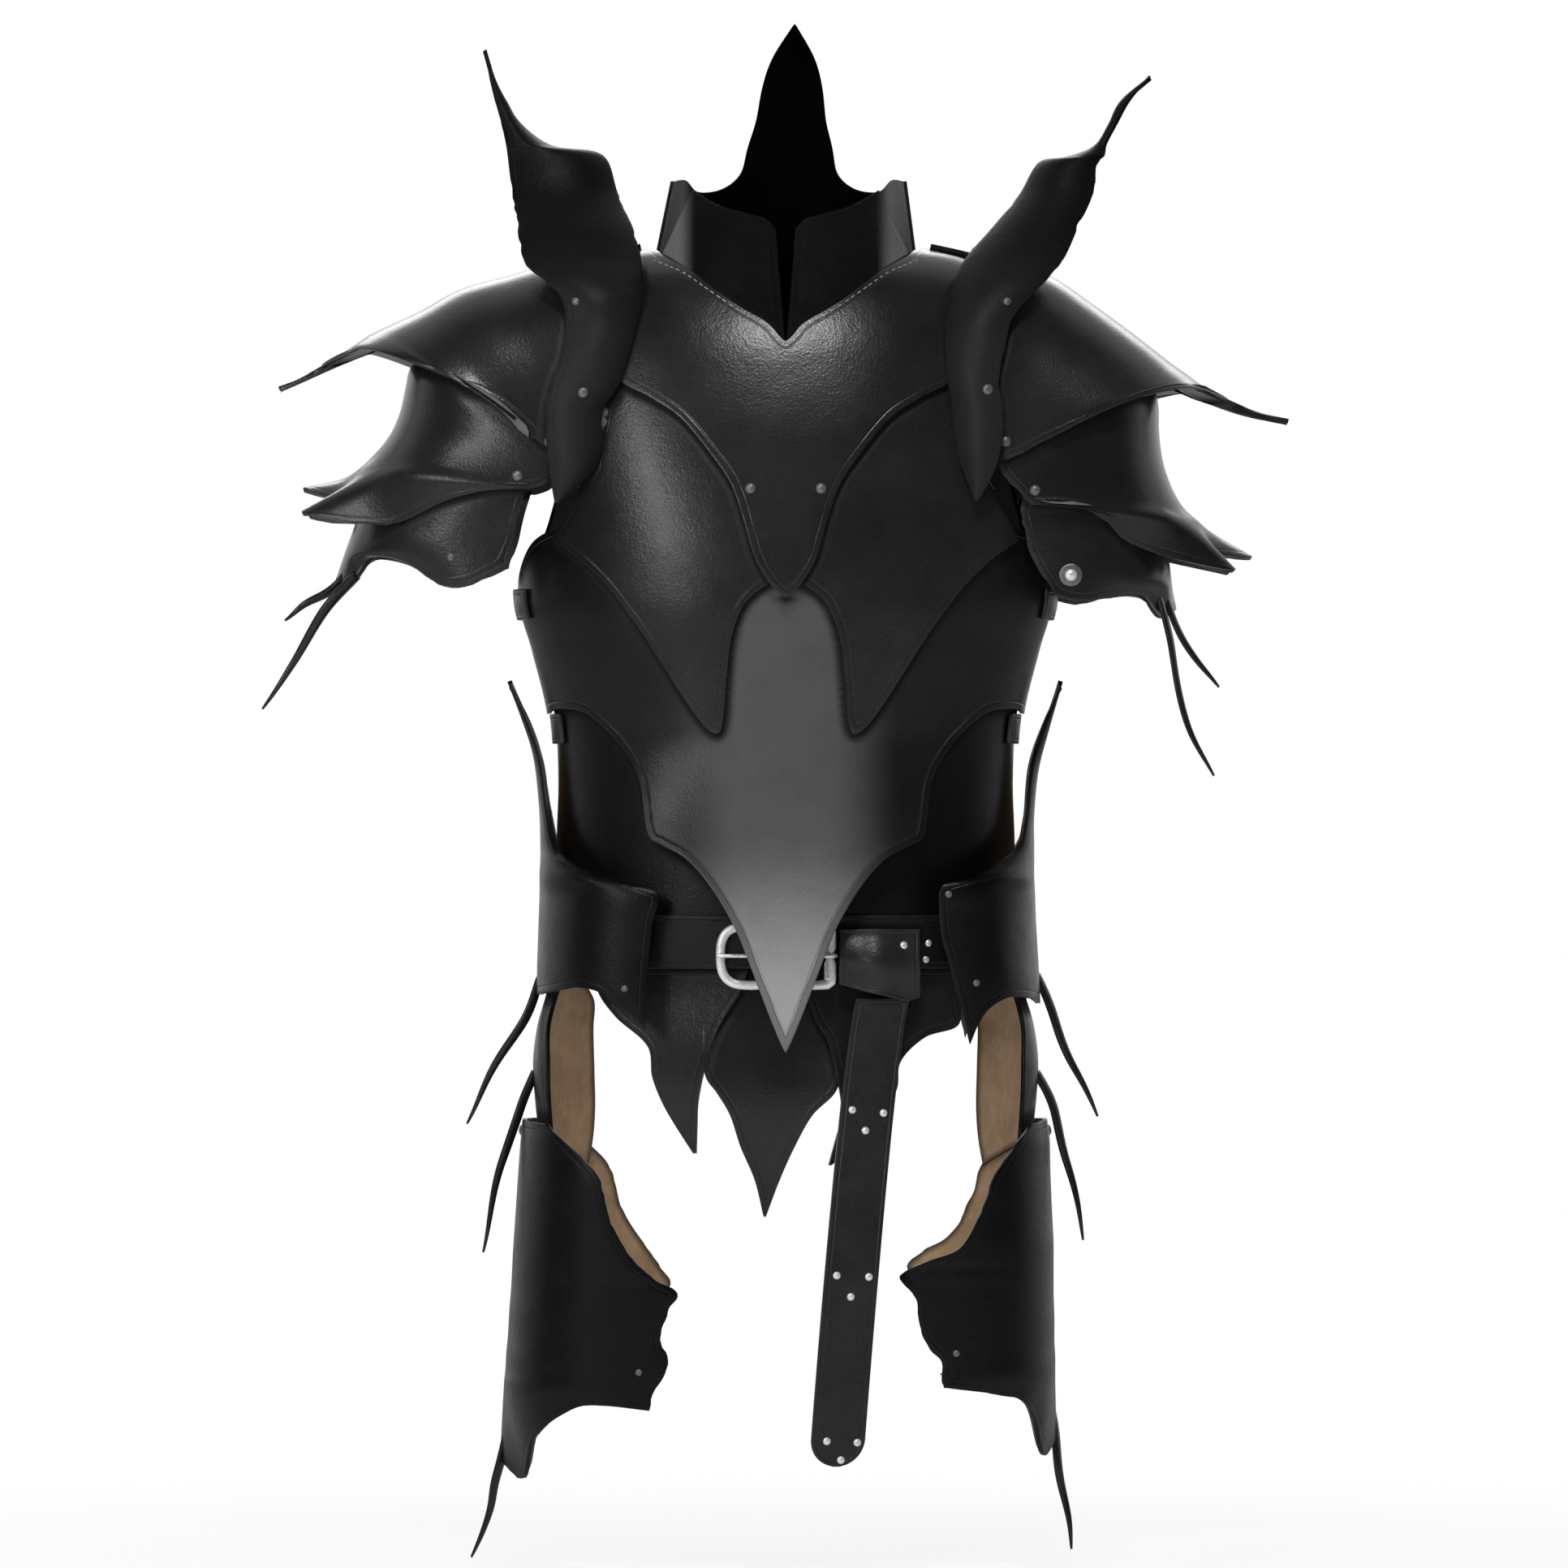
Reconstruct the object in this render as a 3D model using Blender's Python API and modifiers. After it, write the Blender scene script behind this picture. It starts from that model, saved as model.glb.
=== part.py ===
# Leather body armour: a cuirass of overlapping plates with collar, pauldrons,
# belt, hanging flaps and thigh guards. Metres, +Z up, front faces -Y, +X is the
# right of the front view. The origin is on the centre line at the neck base.
import math

import bmesh
import bpy
from mathutils import Matrix, Vector

# Driving dimensions
TORSO_SPAN = 0.600          # height that the torso's shares are taken of
CHEST_HALF_WIDTH = 0.192    # widest half width of the body form
FRONT_DEPTH = 0.115         # body form, centre line to breast
BACK_DEPTH = 0.105          # body form, centre line to back
COLLAR_SPAN = 0.600         # size that the collar's shares are taken of
PAULDRON_SPAN = 0.600       # size that the shoulder pieces' shares are taken of
GUARD_SPAN = 0.600          # size that the thigh guards' shares are taken of
FLAP_SPAN = 0.600           # size that the hanging flaps' shares are taken of

LEATHER = 0.0035            # thickness of the armour leather
LAYER_PITCH = 0.0055        # step from one torso plate to the next one over it
BUTT_GAP = 0.0008           # gap where leather bends or butts, edge to edge
FIT_GAP = 0.0005            # gap between a piece and what it lies on
STRAP_GAP = 0.0007          # the same under straps and the belt, which bridge hollows
PIN_CLEARANCE = 0.0003      # rivet to hole, and rivet head to leather
OVERRUN = 0.004             # how far a cutter runs past what it cuts

STRAP_THICKNESS = 0.003
SIDE_STRAP_HEIGHT = 0.022
SHOULDER_STRAP_WIDTH = 0.030
BELT_HEIGHT = 0.039
BELT_THICKNESS = 0.004
HANGER_THICKNESS = 0.0110   # doubled band that the flaps hang from
TIP_FLARE = 0.060           # how far the abdomen plate's tip stands forward
TAIL_WIDTH = 0.040
TAIL_LENGTH = 0.346
TAIL_LEAN = 0.0315          # sideways drift of the tail from top to end
TAIL_KICK = 0.030           # how far the tail's end stands forward
BUCKLE_WIRE = 0.0022
BUCKLE_LENGTH = 0.080
BUCKLE_HEIGHT = 0.043
TONGUE_RADIUS = 0.0017
WRAP_STANDOFF = 0.006
CENTRE_FLAP_DEPTH = 0.0085  # the centre flap hangs behind the two side flaps
HIP_HANGER_HEIGHT = 0.008

RIVET_RADIUS = 0.002
RIVET_HEAD_RADIUS = 0.0045
RIVET_HEAD_HEIGHT = 0.0022
RIVET_BURR_RADIUS = 0.0042
RIVET_BURR_HEIGHT = 0.0012
RIVET_STEPS = 12

STRAND_WIDTH = 0.0065       # leather strand at its root
STRAND_TIP = 0.0022

ROUNDNESS = 2.3             # squareness of the body's level sections
SHELL_ROUNDNESS = 2.6       # squareness of the shoulder arches

BLACK_LEATHER = ("black_leather", (0.020, 0.020, 0.021), 0.38, 0.0)
STRAP_LEATHER = ("strap_leather", (0.028, 0.028, 0.029), 0.48, 0.0)
STEEL = ("nickel_steel", (0.62, 0.62, 0.60), 0.28, 1.0)

# Body form: height share, then half width, front depth and back depth shares
BODY_SHARES = [
    (0.015, 0.44, 0.24, 0.34),
    (0.000, 0.63, 0.39, 0.49),
    (-0.025, 0.74, 0.55, 0.63),
    (-0.065, 0.82, 0.68, 0.77),
    (-0.130, 0.90, 0.81, 0.89),
    (-0.230, 0.955, 0.94, 0.97),
    (-0.330, 0.985, 1.00, 1.00),
    (-0.420, 1.00, 1.00, 0.96),
    (-0.480, 0.95, 0.98, 0.91),
    (-0.560, 0.89, 0.95, 0.87),
    (-0.640, 0.875, 0.93, 0.85),
    (-0.720, 0.882, 0.93, 0.86),
    (-0.835, 0.88, 0.95, 0.89),
    (-0.960, 0.88, 0.96, 0.90),
]

# Plate outlines: each rib runs from a first to a second point, both written as
# (turn share: 0 front centre, 1 side, 2 back centre; height share)
CHEST_RIB_SHARES = [
    ((0.000, -0.107), (0.000, -0.420)),
    ((0.010, -0.099), (0.021, -0.404)),
    ((0.025, -0.087), (0.050, -0.370)),
    ((0.046, -0.078), (0.068, -0.332)),
    ((0.084, -0.067), (0.094, -0.286)),
    ((0.186, -0.037), (0.150, -0.240)),
    ((0.284, -0.015), (0.215, -0.202)),
    ((0.466, 0.004), (0.300, -0.176)),
    ((0.754, 0.012), (0.397, -0.155)),
    ((0.995, 0.006), (0.484, -0.120)),
    ((0.995, -0.008), (0.592, -0.080)),
]
BREAST_RIB_SHARES = [
    ((0.000, -0.290), (0.000, -0.397)),
    ((0.028, -0.270), (0.028, -0.404)),
    ((0.050, -0.235), (0.072, -0.428)),
    ((0.074, -0.222), (0.102, -0.469)),
    ((0.095, -0.215), (0.119, -0.520)),
    ((0.129, -0.205), (0.136, -0.578)),
    ((0.191, -0.195), (0.164, -0.582)),
    ((0.260, -0.170), (0.216, -0.552)),
    ((0.336, -0.150), (0.284, -0.496)),
    ((0.406, -0.135), (0.343, -0.446)),
    ((0.443, -0.150), (0.404, -0.408)),
    ((0.454, -0.200), (0.506, -0.372)),
    ((0.472, -0.260), (0.626, -0.348)),
]
ABDOMEN_RIB_SHARES = [
    ((0.000, -0.370), (0.000, -0.970)),
    ((0.057, -0.380), (0.033, -0.920)),
    ((0.091, -0.390), (0.075, -0.860)),
    ((0.122, -0.400), (0.108, -0.820)),
    ((0.165, -0.400), (0.171, -0.770)),
    ((0.210, -0.395), (0.239, -0.737)),
    ((0.260, -0.385), (0.315, -0.720)),
    ((0.310, -0.370), (0.356, -0.709)),
    ((0.386, -0.350), (0.388, -0.645)),
    ((0.484, -0.335), (0.435, -0.610)),
    ((0.572, -0.330), (0.497, -0.585)),
    ((0.661, -0.335), (0.600, -0.560)),
    ((0.790, -0.350), (0.760, -0.554)),
    ((0.900, -0.358), (0.880, -0.557)),
    ((0.985, -0.370), (0.985, -0.560)),
]
WAIST_RIB_SHARES = [
    ((0.000, -0.640), (0.000, -0.850)),
    ((0.150, -0.640), (0.150, -0.850)),
    ((0.300, -0.620), (0.300, -0.850)),
    ((0.400, -0.580), (0.400, -0.850)),
    ((0.500, -0.540), (0.500, -0.850)),
    ((0.620, -0.510), (0.620, -0.850)),
    ((0.750, -0.500), (0.750, -0.850)),
    ((0.870, -0.500), (0.870, -0.850)),
    ((0.985, -0.500), (0.985, -0.850)),
]
UPPER_BACK_ROW_SHARES = [
    ((2.000, 0.014), (1.250, 0.014)),
    ((2.000, 0.008), (1.080, 0.011)),
    ((2.000, -0.010), (1.005, 0.005)),
    ((2.000, -0.035), (1.005, -0.012)),
    ((2.000, -0.065), (1.220, -0.048)),
    ((2.000, -0.110), (1.360, -0.095)),
    ((2.000, -0.175), (1.410, -0.155)),
    ((2.000, -0.245), (1.370, -0.215)),
    ((2.000, -0.310), (1.200, -0.265)),
    ((2.000, -0.380), (1.040, -0.305)),
    ((2.000, -0.430), (1.020, -0.350)),
    ((2.000, -0.470), (1.020, -0.400)),
    ((2.000, -0.510), (1.020, -0.460)),
]
LOWER_BACK_ROW_SHARES = [
    ((2.000, -0.345), (1.020, -0.370)),
    ((2.000, -0.400), (1.020, -0.410)),
    ((2.000, -0.450), (1.020, -0.450)),
    ((2.000, -0.500), (1.020, -0.490)),
    ((2.000, -0.540), (1.020, -0.530)),
    ((2.000, -0.580), (1.020, -0.570)),
    ((2.000, -0.620), (1.020, -0.610)),
    ((2.000, -0.670), (1.020, -0.660)),
    ((2.000, -0.730), (1.020, -0.730)),
    ((2.000, -0.790), (1.020, -0.790)),
    ((2.000, -0.850), (1.020, -0.850)),
]

# Collar top: (across, up, forward) shares, one for each of the chest's ribs
COLLAR_TOP_SHARES = [
    (0.012, 0.033, 0.118),
    (0.018, 0.040, 0.117),
    (0.025, 0.046, 0.116),
    (0.036, 0.049, 0.113),
    (0.050, 0.053, 0.108),
    (0.072, 0.059, 0.096),
    (0.091, 0.068, 0.080),
    (0.115, 0.084, 0.048),
]
# Nape guard: turn share of the foot, then (across, up, backward) of the top
NAPE_RIB_SHARES = [
    (1.25, (0.146, 0.098, 0.025)),
    (1.33, (0.131, 0.101, 0.045)),
    (1.42, (0.117, 0.088, 0.062)),
    (1.53, (0.100, 0.087, 0.074)),
    (1.64, (0.084, 0.091, 0.082)),
    (1.74, (0.072, 0.098, 0.086)),
    (1.82, (0.060, 0.112, 0.090)),
    (1.88, (0.046, 0.140, 0.092)),
    (1.92, (0.036, 0.172, 0.092)),
    (1.95, (0.029, 0.215, 0.092)),
    (1.975, (0.020, 0.250, 0.090)),
    (2.00, (0.000, 0.288, 0.086)),
]

# Shoulder arches: (root point, crest point, depth), points as (out, up)
UPPER_LAME_SHARES = {"left": [
    ((0.233, -0.200), (0.230, 0.015), 0.172),
    ((0.252, -0.220), (0.263, 0.004), 0.172),
    ((0.268, -0.242), (0.340, -0.020), 0.172),
    ((0.284, -0.242), (0.400, -0.037), 0.172),
    ((0.300, -0.230), (0.454, -0.066), 0.172),
    ((0.318, -0.212), (0.493, -0.084), 0.172),
    ((0.356, -0.178), (0.513, -0.094), 0.164),
    ((0.400, -0.155), (0.528, -0.104), 0.150),
    ((0.440, -0.116), (0.543, -0.114), 0.090),
    ((0.478, -0.105), (0.563, -0.126), 0.045),
    ((0.528, -0.122), (0.583, -0.137), 0.014),
    ((0.583, -0.146), (0.603, -0.148), 0.008),
    ((0.623, -0.164), (0.627, -0.157), 0.004),
], "right": [
    ((0.233, -0.200), (0.230, 0.015), 0.172),
    ((0.248, -0.225), (0.272, 0.002), 0.172),
    ((0.264, -0.250), (0.332, -0.024), 0.172),
    ((0.284, -0.245), (0.372, -0.051), 0.172),
    ((0.307, -0.232), (0.428, -0.092), 0.172),
    ((0.332, -0.220), (0.473, -0.127), 0.171),
    ((0.367, -0.202), (0.494, -0.142), 0.164),
    ((0.404, -0.180), (0.510, -0.154), 0.150),
    ((0.432, -0.164), (0.520, -0.161), 0.118),
    ((0.464, -0.156), (0.534, -0.167), 0.064),
    ((0.507, -0.173), (0.559, -0.178), 0.016),
    ((0.562, -0.192), (0.583, -0.188), 0.008),
    ((0.617, -0.204), (0.620, -0.196), 0.004),
]}
MIDDLE_LAME_SHARES = {"left": [
    ((0.278, -0.215), (0.378, -0.066), 0.160),
    ((0.274, -0.228), (0.413, -0.084), 0.160),
    ((0.272, -0.246), (0.440, -0.114), 0.160),
    ((0.276, -0.258), (0.462, -0.134), 0.160),
    ((0.280, -0.266), (0.468, -0.158), 0.160),
    ((0.284, -0.272), (0.475, -0.189), 0.160),
    ((0.290, -0.277), (0.487, -0.216), 0.160),
    ((0.296, -0.281), (0.508, -0.242), 0.160),
    ((0.304, -0.284), (0.536, -0.266), 0.160),
], "right": [
    ((0.264, -0.210), (0.354, -0.060), 0.160),
    ((0.260, -0.228), (0.394, -0.090), 0.160),
    ((0.256, -0.248), (0.432, -0.128), 0.160),
    ((0.262, -0.264), (0.456, -0.156), 0.160),
    ((0.270, -0.276), (0.462, -0.180), 0.160),
    ((0.278, -0.284), (0.463, -0.215), 0.160),
    ((0.284, -0.290), (0.472, -0.258), 0.160),
    ((0.290, -0.298), (0.492, -0.302), 0.160),
    ((0.296, -0.302), (0.516, -0.330), 0.160),
]}
LOWER_LAME_SHARES = {"left": [
    ((0.313, -0.254), (0.455, -0.196), 0.147),
    ((0.314, -0.272), (0.474, -0.231), 0.147),
    ((0.318, -0.289), (0.492, -0.256), 0.147),
    ((0.323, -0.305), (0.516, -0.290), 0.147),
    ((0.328, -0.325), (0.532, -0.332), 0.145),
    ((0.332, -0.344), (0.545, -0.368), 0.143),
], "right": [
    ((0.294, -0.272), (0.412, -0.200), 0.147),
    ((0.288, -0.292), (0.440, -0.240), 0.147),
    ((0.286, -0.314), (0.450, -0.276), 0.147),
    ((0.290, -0.335), (0.464, -0.320), 0.147),
    ((0.296, -0.360), (0.472, -0.370), 0.145),
    ((0.310, -0.388), (0.476, -0.402), 0.143),
]}
# Lower rims of the arches, front root to crest, (out, up)
MIDDLE_RIM_SHARES = {
    "left": [(0.311, -0.286), (0.366, -0.289), (0.423, -0.304), (0.488, -0.330),
             (0.592, -0.314), (0.556, -0.300), (0.595, -0.281)],
    "right": [(0.298, -0.306), (0.350, -0.306), (0.388, -0.325), (0.434, -0.360),
              (0.549, -0.384), (0.524, -0.366), (0.576, -0.366)],
}
LOWER_RIM_SHARES = {
    "left": [(0.344, -0.378), (0.394, -0.400), (0.428, -0.400), (0.463, -0.376),
             (0.506, -0.369), (0.540, -0.402), (0.563, -0.418)],
    "right": [(0.329, -0.416), (0.364, -0.424), (0.392, -0.418), (0.422, -0.414),
              (0.444, -0.420), (0.464, -0.442), (0.482, -0.432)],
}
# Shoulder fin and its leaf: (up, outer edge, inner edge, forward) shares
FIN_ROW_SHARES = {"left": [
    (0.258, 0.368, 0.371, 0.010),
    (0.220, 0.356, 0.364, 0.016),
    (0.195, 0.343, 0.358, 0.020),
    (0.170, 0.328, 0.351, 0.026),
    (0.141, 0.290, 0.344, 0.034),
    (0.128, 0.225, 0.342, 0.038),
    (0.080, 0.206, 0.336, 0.060),
    (0.030, 0.184, 0.328, 0.095),
    (-0.006, 0.173, 0.322, 0.122),
    (-0.032, 0.172, 0.294, 0.144),
    (-0.054, 0.173, 0.274, 0.157),
    (-0.080, 0.179, 0.268, 0.168),
    (-0.120, 0.190, 0.272, 0.178),
    (-0.162, 0.204, 0.286, 0.184),
    (-0.190, 0.222, 0.291, 0.185),
    (-0.230, 0.222, 0.292, 0.186),
    (-0.256, 0.230, 0.288, 0.186),
    (-0.282, 0.250, 0.285, 0.186),
    (-0.305, 0.277, 0.281, 0.185),
], "right": [
    (0.225, 0.447, 0.450, 0.010),
    (0.194, 0.411, 0.424, 0.016),
    (0.165, 0.396, 0.408, 0.020),
    (0.140, 0.380, 0.395, 0.026),
    (0.126, 0.345, 0.392, 0.034),
    (0.120, 0.312, 0.386, 0.038),
    (0.080, 0.288, 0.378, 0.060),
    (0.035, 0.252, 0.358, 0.092),
    (-0.004, 0.219, 0.340, 0.122),
    (-0.032, 0.206, 0.318, 0.144),
    (-0.054, 0.200, 0.296, 0.157),
    (-0.080, 0.196, 0.276, 0.168),
    (-0.120, 0.195, 0.266, 0.178),
    (-0.162, 0.198, 0.260, 0.184),
    (-0.190, 0.202, 0.264, 0.185),
    (-0.230, 0.205, 0.264, 0.186),
    (-0.256, 0.212, 0.258, 0.186),
    (-0.282, 0.222, 0.246, 0.186),
    (-0.301, 0.230, 0.234, 0.185),
]}
# Strands of the lower lames, root to tip: (out, up, forward) shares
ARM_STRAND_SHARES = {"left": [
    [(0.530, -0.380, 0.040), (0.563, -0.410, 0.030), (0.590, -0.425, 0.024), (0.618, -0.445, 0.020)],
    [(0.525, -0.390, 0.060), (0.566, -0.430, 0.050), (0.602, -0.496, 0.044), (0.645, -0.554, 0.040)],
], "right": [
    [(0.455, -0.390, 0.050), (0.480, -0.448, 0.040), (0.502, -0.492, 0.034), (0.534, -0.527, 0.030)],
    [(0.448, -0.395, 0.070), (0.473, -0.470, 0.060), (0.494, -0.580, 0.054), (0.527, -0.636, 0.050)],
]}

# Thigh guards: (front root, crest, depth), points as (out, up)
HIP_RIB_SHARES = {"left": [
    ((0.337, -0.526), (0.343, -0.520), 0.006),
    ((0.315, -0.568), (0.327, -0.562), 0.024),
    ((0.300, -0.612), (0.312, -0.608), 0.042),
    ((0.289, -0.680), (0.304, -0.670), 0.070),
    ((0.278, -0.724), (0.302, -0.720), 0.110),
    ((0.252, -0.746), (0.302, -0.738), 0.150),
    ((0.201, -0.763), (0.303, -0.756), 0.185),
    ((0.156, -0.780), (0.303, -0.780), 0.200),
    ((0.162, -0.815), (0.304, -0.810), 0.200),
    ((0.167, -0.860), (0.305, -0.840), 0.200),
    ((0.170, -0.900), (0.306, -0.870), 0.200),
], "right": [
    ((0.337, -0.526), (0.342, -0.519), 0.006),
    ((0.316, -0.573), (0.325, -0.578), 0.024),
    ((0.301, -0.620), (0.312, -0.628), 0.042),
    ((0.294, -0.685), (0.306, -0.688), 0.070),
    ((0.285, -0.720), (0.306, -0.720), 0.110),
    ((0.257, -0.742), (0.306, -0.742), 0.150),
    ((0.227, -0.760), (0.306, -0.760), 0.185),
    ((0.190, -0.770), (0.307, -0.780), 0.200),
    ((0.187, -0.806), (0.308, -0.810), 0.200),
    ((0.193, -0.848), (0.310, -0.845), 0.200),
    ((0.204, -0.885), (0.312, -0.880), 0.200),
]}
HIP_RIM_SHARES = {
    "left": [(0.170, -0.944), (0.218, -0.904), (0.250, -0.894), (0.274, -0.897),
             (0.292, -0.901), (0.302, -0.904), (0.307, -0.905)],
    "right": [(0.224, -0.963), (0.242, -0.926), (0.267, -0.908), (0.287, -0.906),
              (0.301, -0.908), (0.309, -0.912), (0.314, -0.916)],
}
# Thigh shells: crest (out, up), depth, front and rear sweep in degrees and the
# heights of the front and rear edges
THIGH_CENTRE_SHARE = 0.190
THIGH_LAME_SHARES = [
    ((0.290, -0.878), 0.138, 30, 60, -0.892, -0.895),
    ((0.295, -0.905), 0.142, 26, 68, -0.915, -0.915),
    ((0.305, -0.940), 0.145, 30, 70, -0.945, -0.950),
    ((0.311, -0.985), 0.146, 36, 72, -0.985, -1.000),
    ((0.309, -1.030), 0.146, 35, 72, -1.028, -1.050),
    ((0.306, -1.060), 0.146, 34, 70, -1.056, -1.085),
    ((0.304, -1.085), 0.146, 34, 66, -1.082, -1.120),
]
THIGH_PLATE_SHARES = {"left": [
    ((0.318, -1.058), 0.162, 22, 44, -1.065, -1.062),
    ((0.319, -1.080), 0.163, 52, 70, -1.082, -1.085),
    ((0.322, -1.120), 0.164, 77, 84, -1.122, -1.120),
    ((0.326, -1.180), 0.165, 87, 96, -1.182, -1.180),
    ((0.329, -1.225), 0.166, 94, 103, -1.228, -1.225),
    ((0.332, -1.265), 0.166, 108, 108, -1.267, -1.265),
    ((0.336, -1.314), 0.166, 104, 108, -1.314, -1.314),
    ((0.339, -1.350), 0.166, 101, 108, -1.350, -1.350),
    ((0.342, -1.380), 0.166, 97, 106, -1.380, -1.380),
], "right": [
    ((0.322, -1.058), 0.162, 22, 44, -1.065, -1.062),
    ((0.325, -1.080), 0.163, 50, 66, -1.082, -1.085),
    ((0.326, -1.120), 0.164, 76, 80, -1.122, -1.120),
    ((0.328, -1.170), 0.165, 83, 92, -1.172, -1.170),
    ((0.330, -1.210), 0.166, 90, 102, -1.216, -1.210),
    ((0.330, -1.245), 0.166, 105, 110, -1.248, -1.245),
    ((0.331, -1.300), 0.166, 101, 108, -1.300, -1.300),
    ((0.332, -1.345), 0.166, 94, 108, -1.345, -1.345),
    ((0.332, -1.375), 0.166, 90, 106, -1.372, -1.375),
]}
# Lower rim of the thigh plates, front edge to crest
THIGH_RIM_SHARES = {
    "left": [(0.166, -1.410), (0.221, -1.404), (0.254, -1.407), (0.291, -1.428),
             (0.312, -1.454), (0.324, -1.499), (0.350, -1.478)],
    "right": [(0.192, -1.382), (0.225, -1.386), (0.258, -1.392), (0.290, -1.400),
              (0.305, -1.425), (0.318, -1.470), (0.334, -1.450)],
}
# Strands of the thigh guards, root to tip: (out, up, forward) shares
HIP_STRAND_SHARES = {
    "left": [(0.300, -0.885, 0.020), (0.320, -0.930, 0.020), (0.355, -0.990, 0.020), (0.394, -1.064, 0.020)],
    "right": [(0.306, -0.880, 0.020), (0.330, -0.930, 0.020), (0.352, -0.990, 0.020), (0.385, -1.055, 0.020)],
}
LAME_STRAND_SHARES = {
    "left": [(0.306, -1.000, 0.024), (0.326, -1.040, 0.024), (0.345, -1.100, 0.024), (0.374, -1.222, 0.024)],
    "right": [(0.306, -1.000, 0.024), (0.330, -1.045, 0.024), (0.346, -1.110, 0.024), (0.367, -1.207, 0.024)],
}
PLATE_STRAND_SHARES = {
    "left": [(0.340, -1.440, 0.010), (0.358, -1.500, 0.010), (0.362, -1.540, 0.010), (0.389, -1.598, 0.010)],
    "right": [(0.326, -1.420, 0.010), (0.338, -1.490, 0.010), (0.345, -1.540, 0.010), (0.353, -1.588, 0.010)],
}

# Hanging flaps: (up, left edge, right edge) shares, top to tip
LEFT_FLAP_SHARES = [
    (-0.872, -0.172, -0.045), (-0.898, -0.172, -0.055), (-0.924, -0.170, -0.075),
    (-0.967, -0.168, -0.092), (-1.003, -0.163, -0.102), (-1.036, -0.150, -0.108),
    (-1.062, -0.135, -0.109), (-1.096, -0.113, -0.110),
]
CENTRE_FLAP_SHARES = [
    (-0.872, -0.095, 0.070), (-0.930, -0.100, 0.070), (-1.001, -0.098, 0.067),
    (-1.022, -0.084, 0.060), (-1.049, -0.068, 0.033), (-1.088, -0.055, 0.011),
    (-1.128, -0.038, -0.007), (-1.173, -0.027, -0.024),
]
RIGHT_FLAP_SHARES = [
    (-0.872, 0.026, 0.175), (-0.909, 0.028, 0.195), (-0.940, 0.040, 0.204),
    (-0.955, 0.050, 0.170), (-0.985, 0.058, 0.140), (-1.017, 0.066, 0.136),
    (-1.049, 0.069, 0.118), (-1.081, 0.061, 0.092), (-1.110, 0.053, 0.056),
]
# Places of rivets and pivots, (out, up) shares
CHEST_RIVET_SHARE = (0.043, -0.287)
LAME_PIVOT_SHARES = {"left": (0.288, -0.229), "right": (0.268, -0.229)}
ARM_PIVOT_SHARES = {"left": (0.327, -0.270), "right": (0.304, -0.288)}
FIN_RIVET_SHARES = {"left": (0.246, -0.170), "right": (0.246, -0.166)}
THIGH_LAME_PIVOT_SHARE = -0.892
THIGH_PLATE_PIVOT_SHARE = -1.072
ARM_STRAP_SHARES = {"left": (0.350, -0.352), "right": (0.350, -0.390)}
THIGH_STRAP_SHARES = {"left": (0.160, -1.330), "right": (0.172, -1.290)}
SHOULDER_STRAP_SHARES = [0.556, 0.594, 0.631, 0.669, 0.706, 0.7375]
PAULDRON_ANCHOR_SHARE = 0.236
SIDE_STRAP_SHARES = {"upper": -0.425, "lower": -0.578}
BELT_SHARE = -0.8385
TIP_FLARE_SHARES = (-0.630, -0.970)
HANGER_REACH_SHARE = 0.40
WRAP_HEIGHT_SHARES = (-1.038, 0.238)
WRAP_ACROSS_SHARES = (0.072, 0.162)
TAIL_SHARE = 0.119
TAIL_BOW_RATE = 1.6
GUARD_ANCHOR_SHARE = 0.2816
THIGH_STRAP_INSET_SHARE = 0.05
HIP_HANGER_TURN_SHARES = (0.84, 0.90, 0.95, 1.00, 1.05, 1.10, 1.16)
BELT_END_SHARES = (0.116, 4.075)
BUCKLE_ACROSS_SHARE = 0.054
BUCKLE_HEIGHT_SHARE = -0.254
SIDE_STRAP_TURN_SHARES = (0.80, 0.87, 0.93, 0.985, 1.02, 1.07, 1.13, 1.20)
ARM_STRAP_INSET_SHARE = 0.05
PIN_START_SHARE = 0.4

ARCH_COLUMNS = 6
THIGH_COLUMNS = 6
BELT_STEPS = 27
SIDE_STRAP_ROWS = 4
HANGER_STEPS = 12

parts = bpy.data.collections.new("leather_body_armour")
cutters = bpy.data.collections.new("cutters")


# Basic tools
def clear_scene():
    for item in list(bpy.data.objects):
        bpy.data.objects.remove(item, do_unlink=True)
    bpy.context.scene.collection.children.link(parts)
    bpy.context.scene.collection.children.link(cutters)


def material(finish):
    name, colour, roughness, metallic = finish
    found = bpy.data.materials.get(name)
    if found:
        return found
    made = bpy.data.materials.new(name)
    made.use_nodes = True
    shader = made.node_tree.nodes["Principled BSDF"]
    shader.inputs["Base Color"].default_value = (*colour, 1.0)
    shader.inputs["Roughness"].default_value = roughness
    shader.inputs["Metallic"].default_value = metallic
    return made


def add_object(name, mesh, finish, collection=parts):
    thing = bpy.data.objects.new(name, mesh)
    collection.objects.link(thing)
    if finish:
        mesh.materials.append(material(finish))
    return thing


def lerp(first, second, part):
    return first + (second - first) * part


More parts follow.
